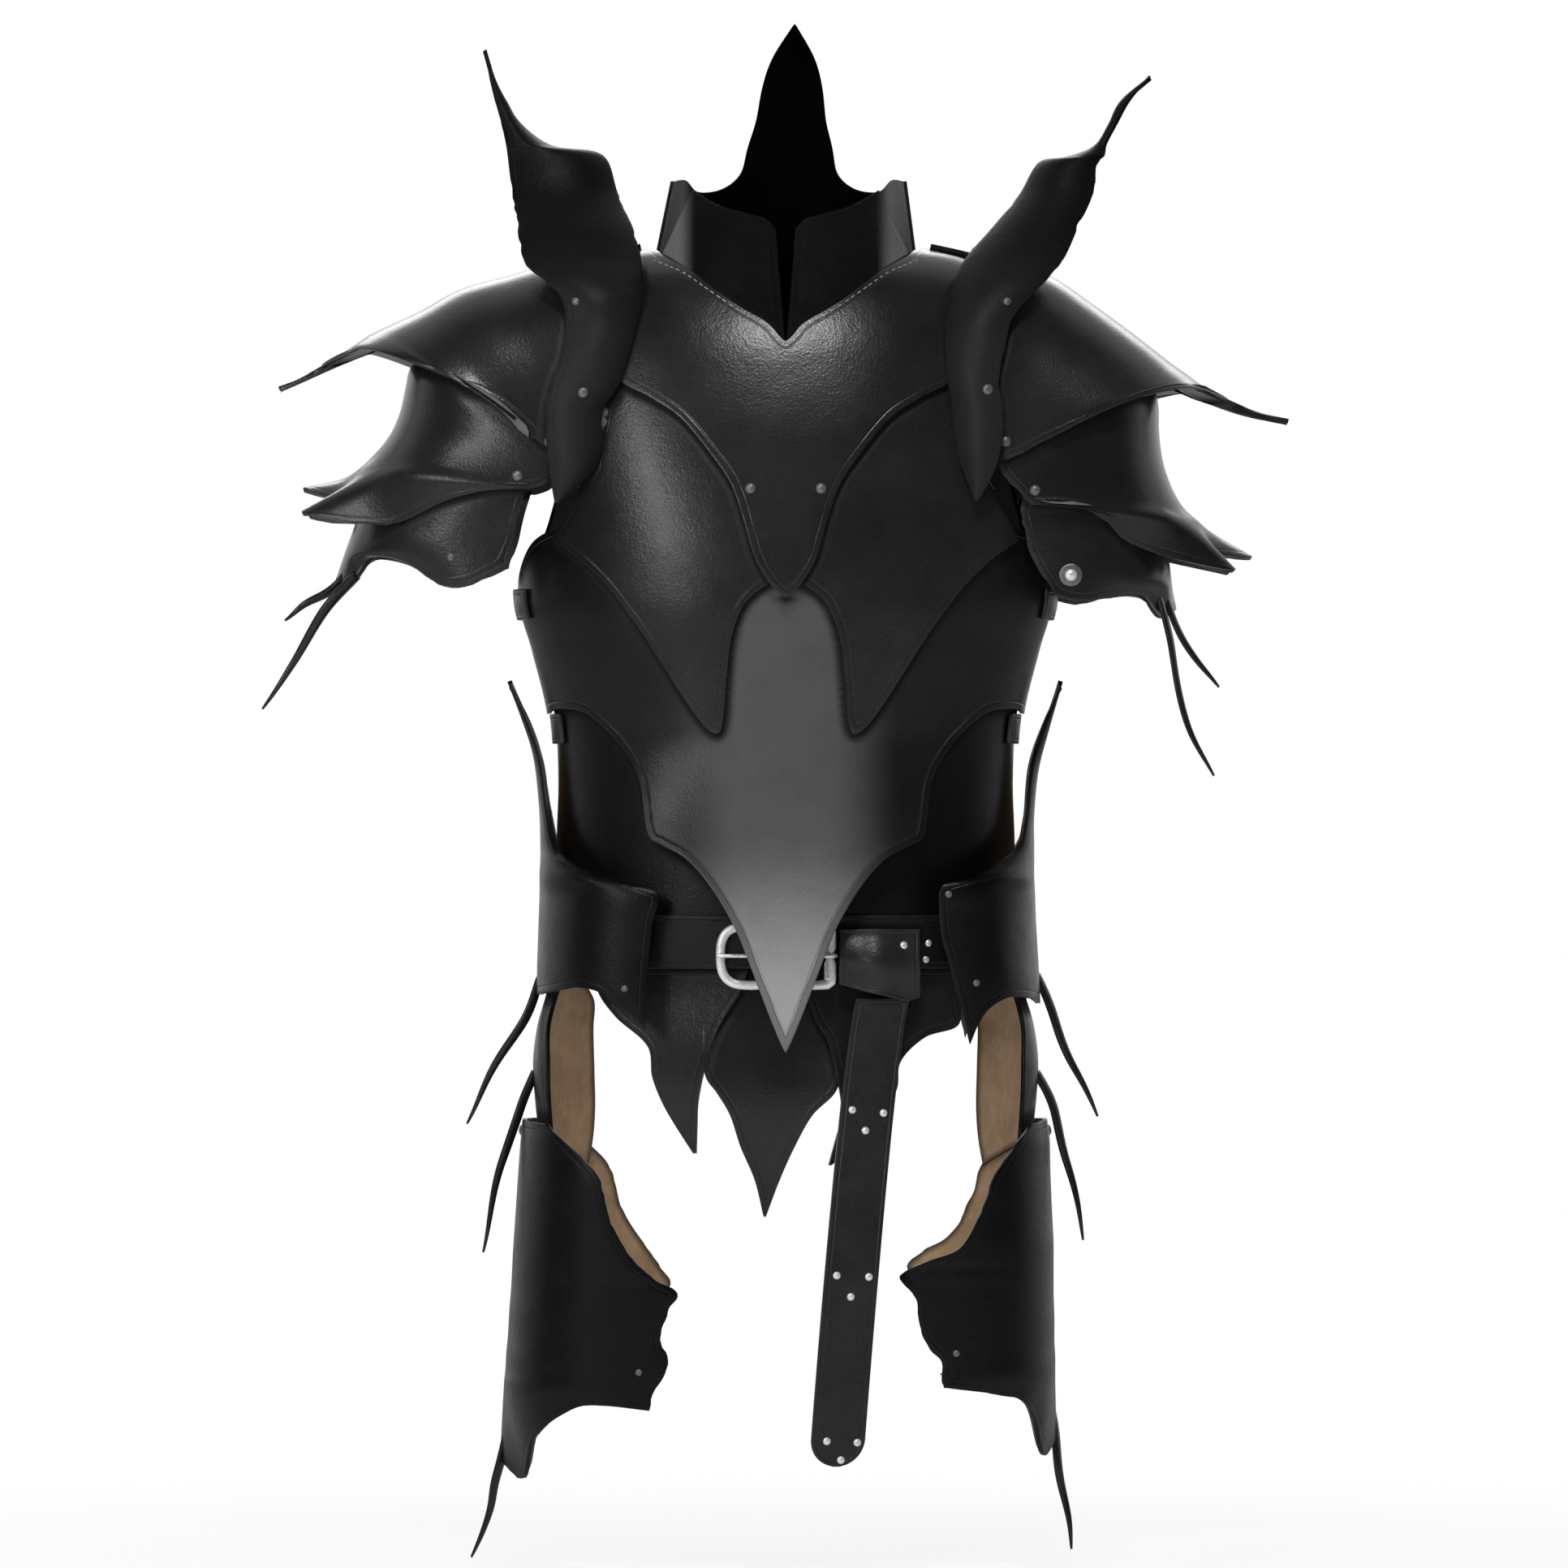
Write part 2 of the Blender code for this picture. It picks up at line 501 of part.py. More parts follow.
def smooth_table(table, key, column):
    """Value of one column of a table whose first column falls, smoothly joined."""
    if key >= table[0][0]:
        return table[0][column]
    if key <= table[-1][0]:
        return table[-1][column]
    index = next(i for i in range(len(table) - 1) if key >= table[i + 1][0])
    rows = [table[max(index - 1, 0)], table[index], table[index + 1], table[min(index + 2, len(table) - 1)]]
    span = rows[1][0] - rows[2][0]
    part = (rows[1][0] - key) / span
    start_slope = (rows[2][column] - rows[0][column]) / (rows[0][0] - rows[2][0] or span) * span
    end_slope = (rows[3][column] - rows[1][column]) / (rows[1][0] - rows[3][0] or span) * span
    square = part * part
    cube = square * part
    return (
        (2 * cube - 3 * square + 1) * rows[1][column]
        + (cube - 2 * square + part) * start_slope
        + (3 * square - 2 * cube) * rows[2][column]
        + (cube - square) * end_slope
    )


def sheet(name, ribs, finish, thickness=LEATHER, centre=None, mirror=False, outward=False):
    """Leather cut to the ribs' outline. Its face lies on the ribs, away from centre."""
    rib_count = len(ribs)
    row_count = len(ribs[0])
    bm = bmesh.new()
    bmesh.ops.create_grid(bm, x_segments=rib_count - 1, y_segments=row_count - 1, size=1)
    for vert in bm.verts:
        rib = round((vert.co.x + 1) / 2 * (rib_count - 1))
        row = round((vert.co.y + 1) / 2 * (row_count - 1))
        vert.co = ribs[rib][row]
    bm.normal_update()
    middle = centre or Vector()
    facing = 0.0
    for face in bm.faces:
        away = face.calc_center_median() - middle
        facing += face.normal.dot(away) * face.calc_area()
    if facing < 0:
        bmesh.ops.reverse_faces(bm, faces=bm.faces)
    mesh = bpy.data.meshes.new(name)
    bm.to_mesh(mesh)
    bm.free()
    mesh.shade_smooth()
    thing = add_object(name, mesh, finish)
    if mirror:
        mod = thing.modifiers.new("other half", "MIRROR")
        mod.use_clip = True
        mod.merge_threshold = 0.0001
    mod = thing.modifiers.new("thickness", "SOLIDIFY")
    mod.thickness = thickness
    mod.offset = 1.0 if outward else -1.0
    return thing


def evaluated(thing):
    bpy.context.view_layer.update()
    return thing.evaluated_get(bpy.context.evaluated_depsgraph_get())


def cut_hole(target, cutter):
    mod = target.modifiers.new("hole", "BOOLEAN")
    mod.operation = "DIFFERENCE"
    mod.object = cutter


def join_strand(target, strand):
    mod = target.modifiers.new("strand", "BOOLEAN")
    mod.operation = "UNION"
    mod.object = strand


def hide_cutter(thing):
    thing.hide_render = True
    thing.display_type = "WIRE"


def pin_cutter(name, place, axis, reach):
    bm = bmesh.new()
    radius = RIVET_RADIUS + PIN_CLEARANCE
    bmesh.ops.create_cone(
        bm, cap_ends=True, segments=RIVET_STEPS, radius1=radius, radius2=radius, depth=reach
    )
    mesh = bpy.data.meshes.new(name)
    bm.to_mesh(mesh)
    bm.free()
    cutter = add_object(name, mesh, None, cutters)
    cutter.location = place
    cutter.rotation_euler = axis.to_track_quat("Z", "Y").to_euler()
    hide_cutter(cutter)
    return cutter


def turned(name, profile, finish, place, axis):
    """A turned piece: its profile runs down the outer side, top to bottom."""
    mesh = bpy.data.meshes.new(name)
    edges = [(i, i + 1) for i in range(len(profile) - 1)]
    mesh.from_pydata([(radius, 0, height) for radius, height in profile], edges, [])
    thing = add_object(name, mesh, finish)
    thing.location = place
    thing.rotation_euler = axis.to_track_quat("Z", "Y").to_euler()
    mod = thing.modifiers.new("turn", "SCREW")
    mod.steps = RIVET_STEPS
    mod.render_steps = RIVET_STEPS
    mod.use_merge_vertices = True
    mod.merge_threshold = 0.0001
    return thing


def rivet(name, outer, inner):
    """A domed rivet whose head sits outside at outer and whose burr sits at inner."""
    axis = (outer - inner).normalized()
    grip = (outer - inner).length
    half = grip / 2
    profile = [
        (0, half + RIVET_HEAD_HEIGHT),
        (RIVET_HEAD_RADIUS * 0.6, half + RIVET_HEAD_HEIGHT * 0.8),
        (RIVET_HEAD_RADIUS, half + RIVET_HEAD_HEIGHT * 0.2),
        (RIVET_HEAD_RADIUS, half),
        (RIVET_RADIUS, half),
        (RIVET_RADIUS, -half),
        (RIVET_BURR_RADIUS, -half),
        (RIVET_BURR_RADIUS, -half - RIVET_BURR_HEIGHT),
        (0, -half - RIVET_BURR_HEIGHT),
    ]
    return turned(name, profile, STEEL, (outer + inner) / 2, axis)


def face_hits(thing, start, direction):
    """Where a line first enters and next leaves a piece; empty where it passes by."""
    shown = evaluated(thing)
    hit, first, normal, index = shown.ray_cast(start, direction)
    if not hit:
        return ()
    hit, second, normal, index = shown.ray_cast(first + direction * (OVERRUN / 100), direction)
    return first, second


def extreme_seat(thing, start, direction, radius, outer):
    """Distance along direction of the face that a round head of this radius meets."""
    side = direction.orthogonal().normalized()
    other = direction.cross(side)
    reaches = []
    for step in range(8):
        turn = math.tau * step / 8
        shift = (side * math.cos(turn) + other * math.sin(turn)) * radius
        hits = face_hits(thing, start + shift, direction)
        if hits:
            reaches.append((hits[0 if outer else 1] - start - shift).dot(direction))
    return min(reaches) if outer else max(reaches)


def pin_pieces(name, outer_piece, inner_piece, start, direction):
    """Rivet two pieces along a line that runs from outside to inside."""
    outside = extreme_seat(outer_piece, start, direction, RIVET_HEAD_RADIUS, True)
    inside = extreme_seat(inner_piece, start, direction, RIVET_BURR_RADIUS, False)
    head_seat = start + direction * (outside - PIN_CLEARANCE)
    burr_seat = start + direction * (inside + PIN_CLEARANCE)
    made = rivet(name, head_seat, burr_seat)
    reach = (burr_seat - head_seat).length + 2 * OVERRUN
    cutter = pin_cutter(name + "_cutter", (head_seat + burr_seat) / 2, direction, reach)
    cut_hole(outer_piece, cutter)
    cut_hole(inner_piece, cutter)
    return made


# Body form
def body_value(height, column, full):
    return smooth_table(BODY_SHARES, height / TORSO_SPAN, column) * full


def body_point(turn, height, lift):
    """A point on the body form, lifted outward; turn 0 front, 1 side, 2 back."""
    half_width = body_value(height, 1, CHEST_HALF_WIDTH) + lift
    if turn <= 1:
        angle = turn * math.pi / 2
        depth = -body_value(height, 2, FRONT_DEPTH) - lift
    else:
        angle = (2 - turn) * math.pi / 2
        depth = body_value(height, 3, BACK_DEPTH) + lift
    power = 2 / ROUNDNESS
    across = half_width * max(math.sin(angle), 0) ** power
    forward = depth * max(math.cos(angle), 0) ** power
    return Vector((across, forward, height))


def crest_height(across, lift):
    """Height of the shoulder ridge at a distance from the centre line."""
    low = BODY_SHARES[4][0] * TORSO_SPAN
    high = BODY_SHARES[0][0] * TORSO_SPAN
    for step in range(40):
        middle = (low + high) / 2
        if body_value(middle, 1, CHEST_HALF_WIDTH) + lift > across:
            low = middle
        else:
            high = middle
    return (low + high) / 2


def tip_flare(height):
    start, end = (share * TORSO_SPAN for share in TIP_FLARE_SHARES)
    if height >= start:
        return 0.0
    return TIP_FLARE * ((start - height) / (start - end)) ** 1.2


def body_sheet(name, rib_shares, rows, lift_at, flare=False, ease=1.0):
    ribs = []
    for first, second in rib_shares:
        rib = []
        for row in range(rows + 1):
            part = (row / rows) ** ease
            turn = lerp(first[0], second[0], part)
            height = lerp(first[1], second[1], part) * TORSO_SPAN
            point = body_point(turn, height, lift_at(height))
            if flare:
                point.y -= tip_flare(height)
            rib.append(point)
        ribs.append(rib)
    centre = Vector((0, 0, ribs[0][0].z))
    return sheet(name, ribs, BLACK_LEATHER, centre=centre, mirror=True)


def layer_lift(layer):
    return lambda height: layer * LAYER_PITCH


def upper_back_lift(height):
    """The upper back lies as high as the chest at the shoulder and sinks below."""
    top = 0.0
    low = BODY_SHARES[6][0] * TORSO_SPAN
    part = min(max((height - top) / (low - top), 0), 1)
    return lerp(3 * LAYER_PITCH, LAYER_PITCH, part)


def torso_plates():
    chest = body_sheet("chest_plate", CHEST_RIB_SHARES, 7, layer_lift(3), ease=1.25)
    breast = body_sheet("breast_plate", BREAST_RIB_SHARES, 5, layer_lift(2))
    body_sheet("abdomen_plate", ABDOMEN_RIB_SHARES, 8, layer_lift(1), flare=True)
    body_sheet("waist_plate", WAIST_RIB_SHARES, 8, layer_lift(0))
    body_sheet("upper_back_plate", UPPER_BACK_ROW_SHARES, 9, upper_back_lift)
    body_sheet("lower_back_plate", LOWER_BACK_ROW_SHARES, 9, layer_lift(0))
    for side, sign in (("left", -1), ("right", 1)):
        across, height = (share * TORSO_SPAN for share in CHEST_RIVET_SHARE)
        start = Vector((sign * across, -2 * FRONT_DEPTH, height))
        pin_pieces("chest_rivet_" + side, chest, breast, start, Vector((0, 1, 0)))


def collar():
    for side, sign in (("left", -1), ("right", 1)):
        ribs = []
        for index, top in enumerate(COLLAR_TOP_SHARES):
            foot = CHEST_RIB_SHARES[index][0]
            height = foot[1] * TORSO_SPAN + BUTT_GAP * (2 if index < 2 else 1)
            base = body_point(foot[0], height, 3 * LAYER_PITCH)
            base.x = max(base.x, BUTT_GAP / 2)
            across, up, forward = (share * COLLAR_SPAN for share in top)
            crown = Vector((across, -forward, up))
            rib = []
            for row in range(5):
                point = base.lerp(crown, row / 4)
                point.x *= sign
                rib.append(point)
            ribs.append(rib)
        sheet("collar_" + side, ribs, BLACK_LEATHER, centre=Vector((0, 0, 0)))


def nape_guard():
    ribs = []
    for turn, top in NAPE_RIB_SHARES:
        foot_height = UPPER_BACK_ROW_SHARES[0][0][1] * TORSO_SPAN
        base = body_point(turn, foot_height, upper_back_lift(foot_height))
        base.z += BUTT_GAP
        across, up, backward = (share * COLLAR_SPAN for share in top)
        crown = Vector((across, backward, up))
        ribs.append([base.lerp(crown, row / 5) for row in range(6)])
    sheet("nape_guard", ribs, BLACK_LEATHER, centre=Vector((0, 0, 0)), mirror=True)


def side_straps():
    for level, share in SIDE_STRAP_SHARES.items():
        height = share * TORSO_SPAN
        lift = (LAYER_PITCH if level == "upper" else 0) + STRAP_GAP
        for side, sign in (("left", -1), ("right", 1)):
            ribs = []
            for turn in SIDE_STRAP_TURN_SHARES:
                rib = []
                for row in range(SIDE_STRAP_ROWS + 1):
                    shift = lerp(-SIDE_STRAP_HEIGHT / 2, SIDE_STRAP_HEIGHT / 2, row / SIDE_STRAP_ROWS)
                    point = body_point(turn, height + shift, lift)
                    point.x *= sign
                    rib.append(point)
                ribs.append(rib)
            sheet(
                "side_strap_" + side + "_" + level, ribs, STRAP_LEATHER, thickness=STRAP_THICKNESS,
                centre=Vector((0, 0, height)), outward=True
            )


# Shoulders
def shoulder_anchor():
    """Point on the shoulder ridge that the pauldron's drawing is set to."""
    return Vector((SHOULDER_STRAP_SHARES[-1] * CHEST_HALF_WIDTH, 0, 0))


def pauldron_place(sign, out, up, forward):
    across = shoulder_anchor().x + (out - PAULDRON_ANCHOR_SHARE) * PAULDRON_SPAN
    return Vector((sign * across, -forward * PAULDRON_SPAN, up * PAULDRON_SPAN))


def arch_rib(place, sign, root, crest, depth):
    """One arch over the arm, from the front root over the crest to the rear root."""
    power = 2 / SHELL_ROUNDNESS
    rib = []
    for column in range(-ARCH_COLUMNS, ARCH_COLUMNS + 1):
        angle = column / ARCH_COLUMNS * math.pi / 2
        rise = max(math.cos(angle), 0) ** power
        reach = math.copysign(abs(math.sin(angle)) ** power, angle) * depth
        out = lerp(root[0], crest[0], rise)
        up = lerp(root[1], crest[1], rise)
        rib.append(place(sign, out, up, -reach))
    return rib


def rim_rib(place, sign, rim, depth):
    """The lower rim of an arch, given by its own points."""
    power = 2 / SHELL_ROUNDNESS
    rib = []
    for column in range(-ARCH_COLUMNS, ARCH_COLUMNS + 1):
        angle = column / ARCH_COLUMNS * math.pi / 2
        reach = math.copysign(abs(math.sin(angle)) ** power, angle) * depth
        out, up = rim[ARCH_COLUMNS - abs(column)]
        rib.append(place(sign, out, up, -reach))
    return rib


def arch(name, place, sign, ribs, rim=None):
    lofted = [arch_rib(place, sign, *rib) for rib in ribs]
    if rim:
        lofted.append(rim_rib(place, sign, rim, ribs[-1][2]))
    root = place(sign, ribs[0][0][0], ribs[0][0][1], 0)
    return sheet(name, lofted, BLACK_LEATHER, centre=Vector((root.x, 0, root.z)))


def strand(name, place, sign, points):
    """A leather strand that tapers to its tip, made a mesh to join its plate."""
    curve = bpy.data.curves.new(name, "CURVE")
    curve.dimensions = "3D"
    curve.bevel_depth = STRAND_WIDTH / 2
    curve.bevel_resolution = 1
    curve.use_fill_caps = True
    spline = curve.splines.new("POLY")
    spline.points.add(len(points) - 1)
    for index, share in enumerate(points):
        spline.points[index].co = (*place(sign, *share), 1)
        spline.points[index].radius = lerp(1, STRAND_TIP / STRAND_WIDTH, index / (len(points) - 1))
    guide = bpy.data.objects.new(name, curve)
    cutters.objects.link(guide)
    mesh = bpy.data.meshes.new_from_object(evaluated(guide))
    bm = bmesh.new()
    bm.from_mesh(mesh)
    bmesh.ops.remove_doubles(bm, verts=bm.verts, dist=FIT_GAP / 10)
    bm.to_mesh(mesh)
    bm.free()
    made = add_object(name + "_solid", mesh, None, cutters)
    made.matrix_world = guide.matrix_world
    bpy.data.objects.remove(guide)
    hide_cutter(made)
    return made


def band(name, sign, place, seat_piece, share, height, inset):
    """A strap across an open shell, from its front flap round to its rear flap."""
    out, up = share
    corner = STRAP_THICKNESS * 2
    flap = place(sign, out + inset, up, 0)
    edge = place(sign, out, up, 0)
    reaches = []
    for across in (flap.x, (flap.x + edge.x) / 2, edge.x + sign * corner, edge.x + sign * corner / 2):
        for row in (-1, 0, 1):
            start = Vector((across, 0, flap.z + row * height / 2))
            for facing in (-1, 1):
                hits = face_hits(seat_piece, start, Vector((0, facing, 0)))
                reaches += [abs(hit.y) for hit in hits[:1]]
    reach = min(reaches) - FIT_GAP
    path = [
        (flap.x, reach),
        (edge.x + sign * corner, reach),
        (edge.x + sign * corner * 0.3, reach - corner * 0.3),
        (edge.x, reach - corner),
        (edge.x, reach / 2),
        (edge.x, 0),
    ]
    ring = [(x, -y) for x, y in path] + [(x, y) for x, y in reversed(path[:-1])]
    ribs = []
    for x, y in ring:
        ribs.append([Vector((x, y, flap.z + row * height / 2)) for row in (-1, 1)])
    inside = Vector((flap.x, 0, flap.z))
    return sheet(name, ribs, STRAP_LEATHER, thickness=STRAP_THICKNESS, centre=inside)


def shoulder(side, sign):
    upper = arch("pauldron_upper_lame_" + side, pauldron_place, sign, UPPER_LAME_SHARES[side])
    middle = arch(
        "pauldron_middle_lame_" + side, pauldron_place, sign, MIDDLE_LAME_SHARES[side], MIDDLE_RIM_SHARES[side]
    )
    lower = arch(
        "pauldron_lower_lame_" + side, pauldron_place, sign, LOWER_LAME_SHARES[side], LOWER_RIM_SHARES[side]
    )
    fin = shoulder_fin(side, sign)
    for index, points in enumerate(ARM_STRAND_SHARES[side]):
        join_strand(lower, strand("arm_strand_" + side + str(index), pauldron_place, sign, points))
    band(
        "arm_strap_" + side, sign, pauldron_place, lower, ARM_STRAP_SHARES[side], SIDE_STRAP_HEIGHT / 2,
        ARM_STRAP_INSET_SHARE
    )
    for end, toward in (("front", 1), ("rear", -1)):
        pairs = (
            ("upper_pivot_", upper, middle, LAME_PIVOT_SHARES[side]),
            ("lower_pivot_", middle, lower, ARM_PIVOT_SHARES[side]),
        )
        for label, outer, inner, share in pairs:
            start = pauldron_place(sign, share[0], share[1], toward * PIN_START_SHARE)
            pin_pieces(label + end + "_" + side, outer, inner, start, Vector((0, toward, 0)))
    share = FIN_RIVET_SHARES[side]
    start = pauldron_place(sign, share[0], share[1], PIN_START_SHARE)
    pin_pieces("fin_rivet_" + side, fin, upper, start, Vector((0, 1, 0)))
    shoulder_strap(side, sign, upper)


def shoulder_fin(side, sign):
    ribs = []
    for up, outer, inner, forward in FIN_ROW_SHARES[side]:
        rib = []
        for column in range(4):
            out = lerp(outer, inner, column / 3)
            rib.append(pauldron_place(sign, out, up, forward))
        ribs.append(rib)
    return sheet("shoulder_fin_" + side, ribs, BLACK_LEATHER, centre=Vector((0, 1, 0)))


def shoulder_strap(side, sign, lame):
    """A strap over the shoulder seam that rises to the inner end of the pauldron."""
    last = shoulder_anchor().x
    rises = []
    for row in range(5):
        shift = lerp(-SHOULDER_STRAP_WIDTH / 2, SHOULDER_STRAP_WIDTH / 2, row / 4)
        start = Vector((sign * last, shift, -SHOULDER_STRAP_WIDTH))
        inner, outer = face_hits(lame, start, Vector((0, 0, 1)))
        top = inner.z - BUTT_GAP - STRAP_THICKNESS
        rises.append(top - crest_height(last, 3 * LAYER_PITCH) - FIT_GAP)
    ribs = []
    for index, share in enumerate(SHOULDER_STRAP_SHARES):
        across = share * CHEST_HALF_WIDTH
        part = index / (len(SHOULDER_STRAP_SHARES) - 1)
        rib = []
        for row in range(5):
            shift = lerp(-SHOULDER_STRAP_WIDTH / 2, SHOULDER_STRAP_WIDTH / 2, row / 4)
            height = crest_height(across, 3 * LAYER_PITCH) + FIT_GAP + rises[row] * part * part
            rib.append(Vector((sign * across, shift, height)))
        ribs.append(rib)
    return sheet(
        "shoulder_strap_" + side, ribs, STRAP_LEATHER, thickness=STRAP_THICKNESS,
        centre=Vector((0, 0, -1)), outward=True
    )


# Belt and what hangs from it
def belt_level(turn, lift, row):
    height = BELT_SHARE * TORSO_SPAN
    point = body_point(turn, height, lift)
    point.z += row * BELT_HEIGHT / 2
    return point


def belt():
    """The belt strap, open at the front where its buckle closes it."""
    ribs = []
    for step in range(2 * BELT_STEPS + 1):
        turn = lerp(BELT_END_SHARES[0], BELT_END_SHARES[1], step / (2 * BELT_STEPS))
        rib = []
        for row in (-1, 1):
            point = belt_level(abs((turn + 2) % 4 - 2), STRAP_GAP, row)
            if 2 < turn < 4:
                point.x = -point.x
            rib.append(point)
        ribs.append(rib)
    sheet(
        "belt", ribs, STRAP_LEATHER, thickness=BELT_THICKNESS,
        centre=Vector((0, 0, BELT_SHARE * TORSO_SPAN)), outward=True
    )


def belt_height(share):
    """Height of a point on the belt, as a share of the belt's height off its middle."""
    return BELT_SHARE * TORSO_SPAN + share * BELT_HEIGHT


def belt_front():
    """Forward reach of the belt's outer face at the centre line."""
    return -belt_level(0, STRAP_GAP + BELT_THICKNESS, 0).y


def buckle_bar_place():
    across = BUCKLE_ACROSS_SHARE * FLAP_SPAN
    return Vector((across, -belt_front() - BUCKLE_WIRE - FIT_GAP, belt_height(BUCKLE_HEIGHT_SHARE)))


def tube(name, points, radius, finish, cyclic=False):
    curve = bpy.data.curves.new(name, "CURVE")
    curve.dimensions = "3D"
    curve.bevel_depth = radius
    curve.bevel_resolution = 2
    curve.use_fill_caps = True
    spline = curve.splines.new("POLY")
    spline.points.add(len(points) - 1)
    for index, point in enumerate(points):
        spline.points[index].co = (*point, 1)
    spline.use_cyclic_u = cyclic
    curve.materials.append(material(finish))
    thing = bpy.data.objects.new(name, curve)
    parts.objects.link(thing)
    return thing


def belt_buckle():
    """A D frame: a straight bar, two rails and a round nose."""
    bar = buckle_bar_place()
    half = BUCKLE_HEIGHT / 2
    nose = BUCKLE_LENGTH - half
    points = [bar + Vector((0, 0, row * half)) for row in (-0.5, 0.5, 1)]
    for step in range(9):
        angle = math.pi * step / 8
        points.append(bar + Vector((-nose - half * math.sin(angle), 0, half * math.cos(angle))))
    points.append(bar + Vector((0, 0, -half)))
    tube("belt_buckle", points, BUCKLE_WIRE, STEEL, cyclic=True)


def belt_tongue():
    """A pin that rests on the nose of the buckle and loops half round its bar."""
    bar = buckle_bar_place()
    ring = BUCKLE_WIRE + PIN_CLEARANCE + TONGUE_RADIUS
    reach = BUCKLE_LENGTH + BUCKLE_WIRE
    points = [bar + Vector((-reach * part, -ring, 0)) for part in (1.0, 0.6, 0.2)]
    for step in range(5):
        angle = math.pi * step / 4
        points.append(bar + Vector((ring * math.sin(angle), -ring * math.cos(angle), 0)))
    tube("belt_tongue", points, TONGUE_RADIUS, STEEL)


def turn_at(across, lift):
    """Turn at which the belt's level section reaches a distance from the centre."""
    full = body_value(BELT_SHARE * TORSO_SPAN, 1, CHEST_HALF_WIDTH) + lift
    return math.asin((across / full) ** (ROUNDNESS / 2)) * 2 / math.pi


def belt_face(across, lift):
    """A point of the belt's level section, on either side of the centre line."""
    point = body_point(turn_at(abs(across), lift), BELT_SHARE * TORSO_SPAN, lift)
    point.x = across
    return point


def belt_wrap():
    """The folded free end of the belt, swelling forward over the belt's face."""
    lift = STRAP_GAP + FIT_GAP + BELT_THICKNESS
    low, high = (belt_height(share) for share in WRAP_HEIGHT_SHARES)
    left, right = (share * FLAP_SPAN for share in WRAP_ACROSS_SHARES)
    ribs = []
    for column in range(6):
        across = lerp(left, right, column / 5)
        rib = []
        for row in range(7):
            swell = math.sin(math.pi * row / 6) ** 2 * WRAP_STANDOFF
            point = belt_face(across, lift + swell)
            point.z = lerp(high, low, row / 6)
            rib.append(point)
        ribs.append(rib)
    sheet("belt_wrap", ribs, STRAP_LEATHER, thickness=BELT_THICKNESS, centre=Vector((0, 1, 0)), outward=True)


def tail_top():
    """Left and right ends of the line that the tail hangs from."""
    low = belt_height(WRAP_HEIGHT_SHARES[0]) - BUTT_GAP
    middle = TAIL_SHARE * FLAP_SPAN
    lift = STRAP_GAP + FIT_GAP + BELT_THICKNESS * 2
    ends = []
    for sign in (-1, 1):
        point = belt_face(middle + sign * TAIL_WIDTH / 2, lift)
        point.z = low
        ends.append(point)
    return ends


def belt_tail():
    """The belt's free end: it hangs, bows forward and leans to its rounded tip."""
    left, right = tail_top()
    along = (right - left).normalized()
    steps = 12
    ribs = []
    for step in range(steps + 1):
        part = step / steps
        drop = TAIL_LENGTH * part
        bow = TAIL_KICK * (1 - math.cos(math.pi * min(part * TAIL_BOW_RATE, 1))) / 2
        middle = (left + right) / 2 + Vector((-TAIL_LEAN * part, -bow, -drop))
        to_tip = TAIL_LENGTH - drop
        half = TAIL_WIDTH / 2
        if to_tip < half:
            half = max(math.sqrt(half ** 2 - (half - to_tip) ** 2), TAIL_WIDTH / 8)
        ribs.append([middle + along * half * row for row in (-1, 0, 1)])
    sheet("belt_tail", ribs, STRAP_LEATHER, thickness=STRAP_THICKNESS, centre=Vector((0, 1, 0)))


def flap_hanger():
    """A doubled band inside the belt's lower edge that the hanging flaps hold to."""
    top = WAIST_RIB_SHARES[0][1][1] * TORSO_SPAN - BUTT_GAP
    low = flap_level() + BUTT_GAP
    ribs = []
    for step in range(HANGER_STEPS + 1):
        turn = lerp(-HANGER_REACH_SHARE, HANGER_REACH_SHARE, step / HANGER_STEPS)
        point = body_point(abs(turn), BELT_SHARE * TORSO_SPAN, 0)
        point.x = math.copysign(point.x, turn)
        ribs.append([Vector((point.x, point.y, level)) for level in (top, low)])
    sheet("flap_hanger", ribs, STRAP_LEATHER, thickness=HANGER_THICKNESS, centre=Vector((0, 0, low)))


def flap_level():
    """Height of the line that the hanging flaps turn on."""
    return BELT_SHARE * TORSO_SPAN - BELT_HEIGHT / 2 - BUTT_GAP


def hanging_flap(name, rows, depth):
    """A pointed flap that hangs flat from a straight line under the belt."""
    ends = []
    for share in (rows[0][1], rows[0][2]):
        point = belt_face(share * FLAP_SPAN, -depth)
        point.z = 0
        ends.append(point)
    along = (ends[1] - ends[0]) / (ends[1].x - ends[0].x)
    ribs = []
    for up, left, right in rows:
        level = flap_level() + (up - rows[0][0]) * FLAP_SPAN
        rib = []
        for column in range(5):
            across = lerp(left, right, column / 4) * FLAP_SPAN
            point = ends[0] + along * (across - ends[0].x)
            point.z = level
            rib.append(point)
        ribs.append(rib)
    sheet(name, ribs, BLACK_LEATHER, centre=Vector((0, 1, 0)))


# Thigh guards
def guard_place(sign, out, up, forward):
    """The guards' drawing is set to the belt: its side and its height."""
    side = body_value(BELT_SHARE * TORSO_SPAN, 1, CHEST_HALF_WIDTH)
    across = side + (out - GUARD_ANCHOR_SHARE) * GUARD_SPAN
    height = BELT_SHARE * TORSO_SPAN + (up - BELT_SHARE) * GUARD_SPAN
    return Vector((sign * across, -forward * GUARD_SPAN, height))


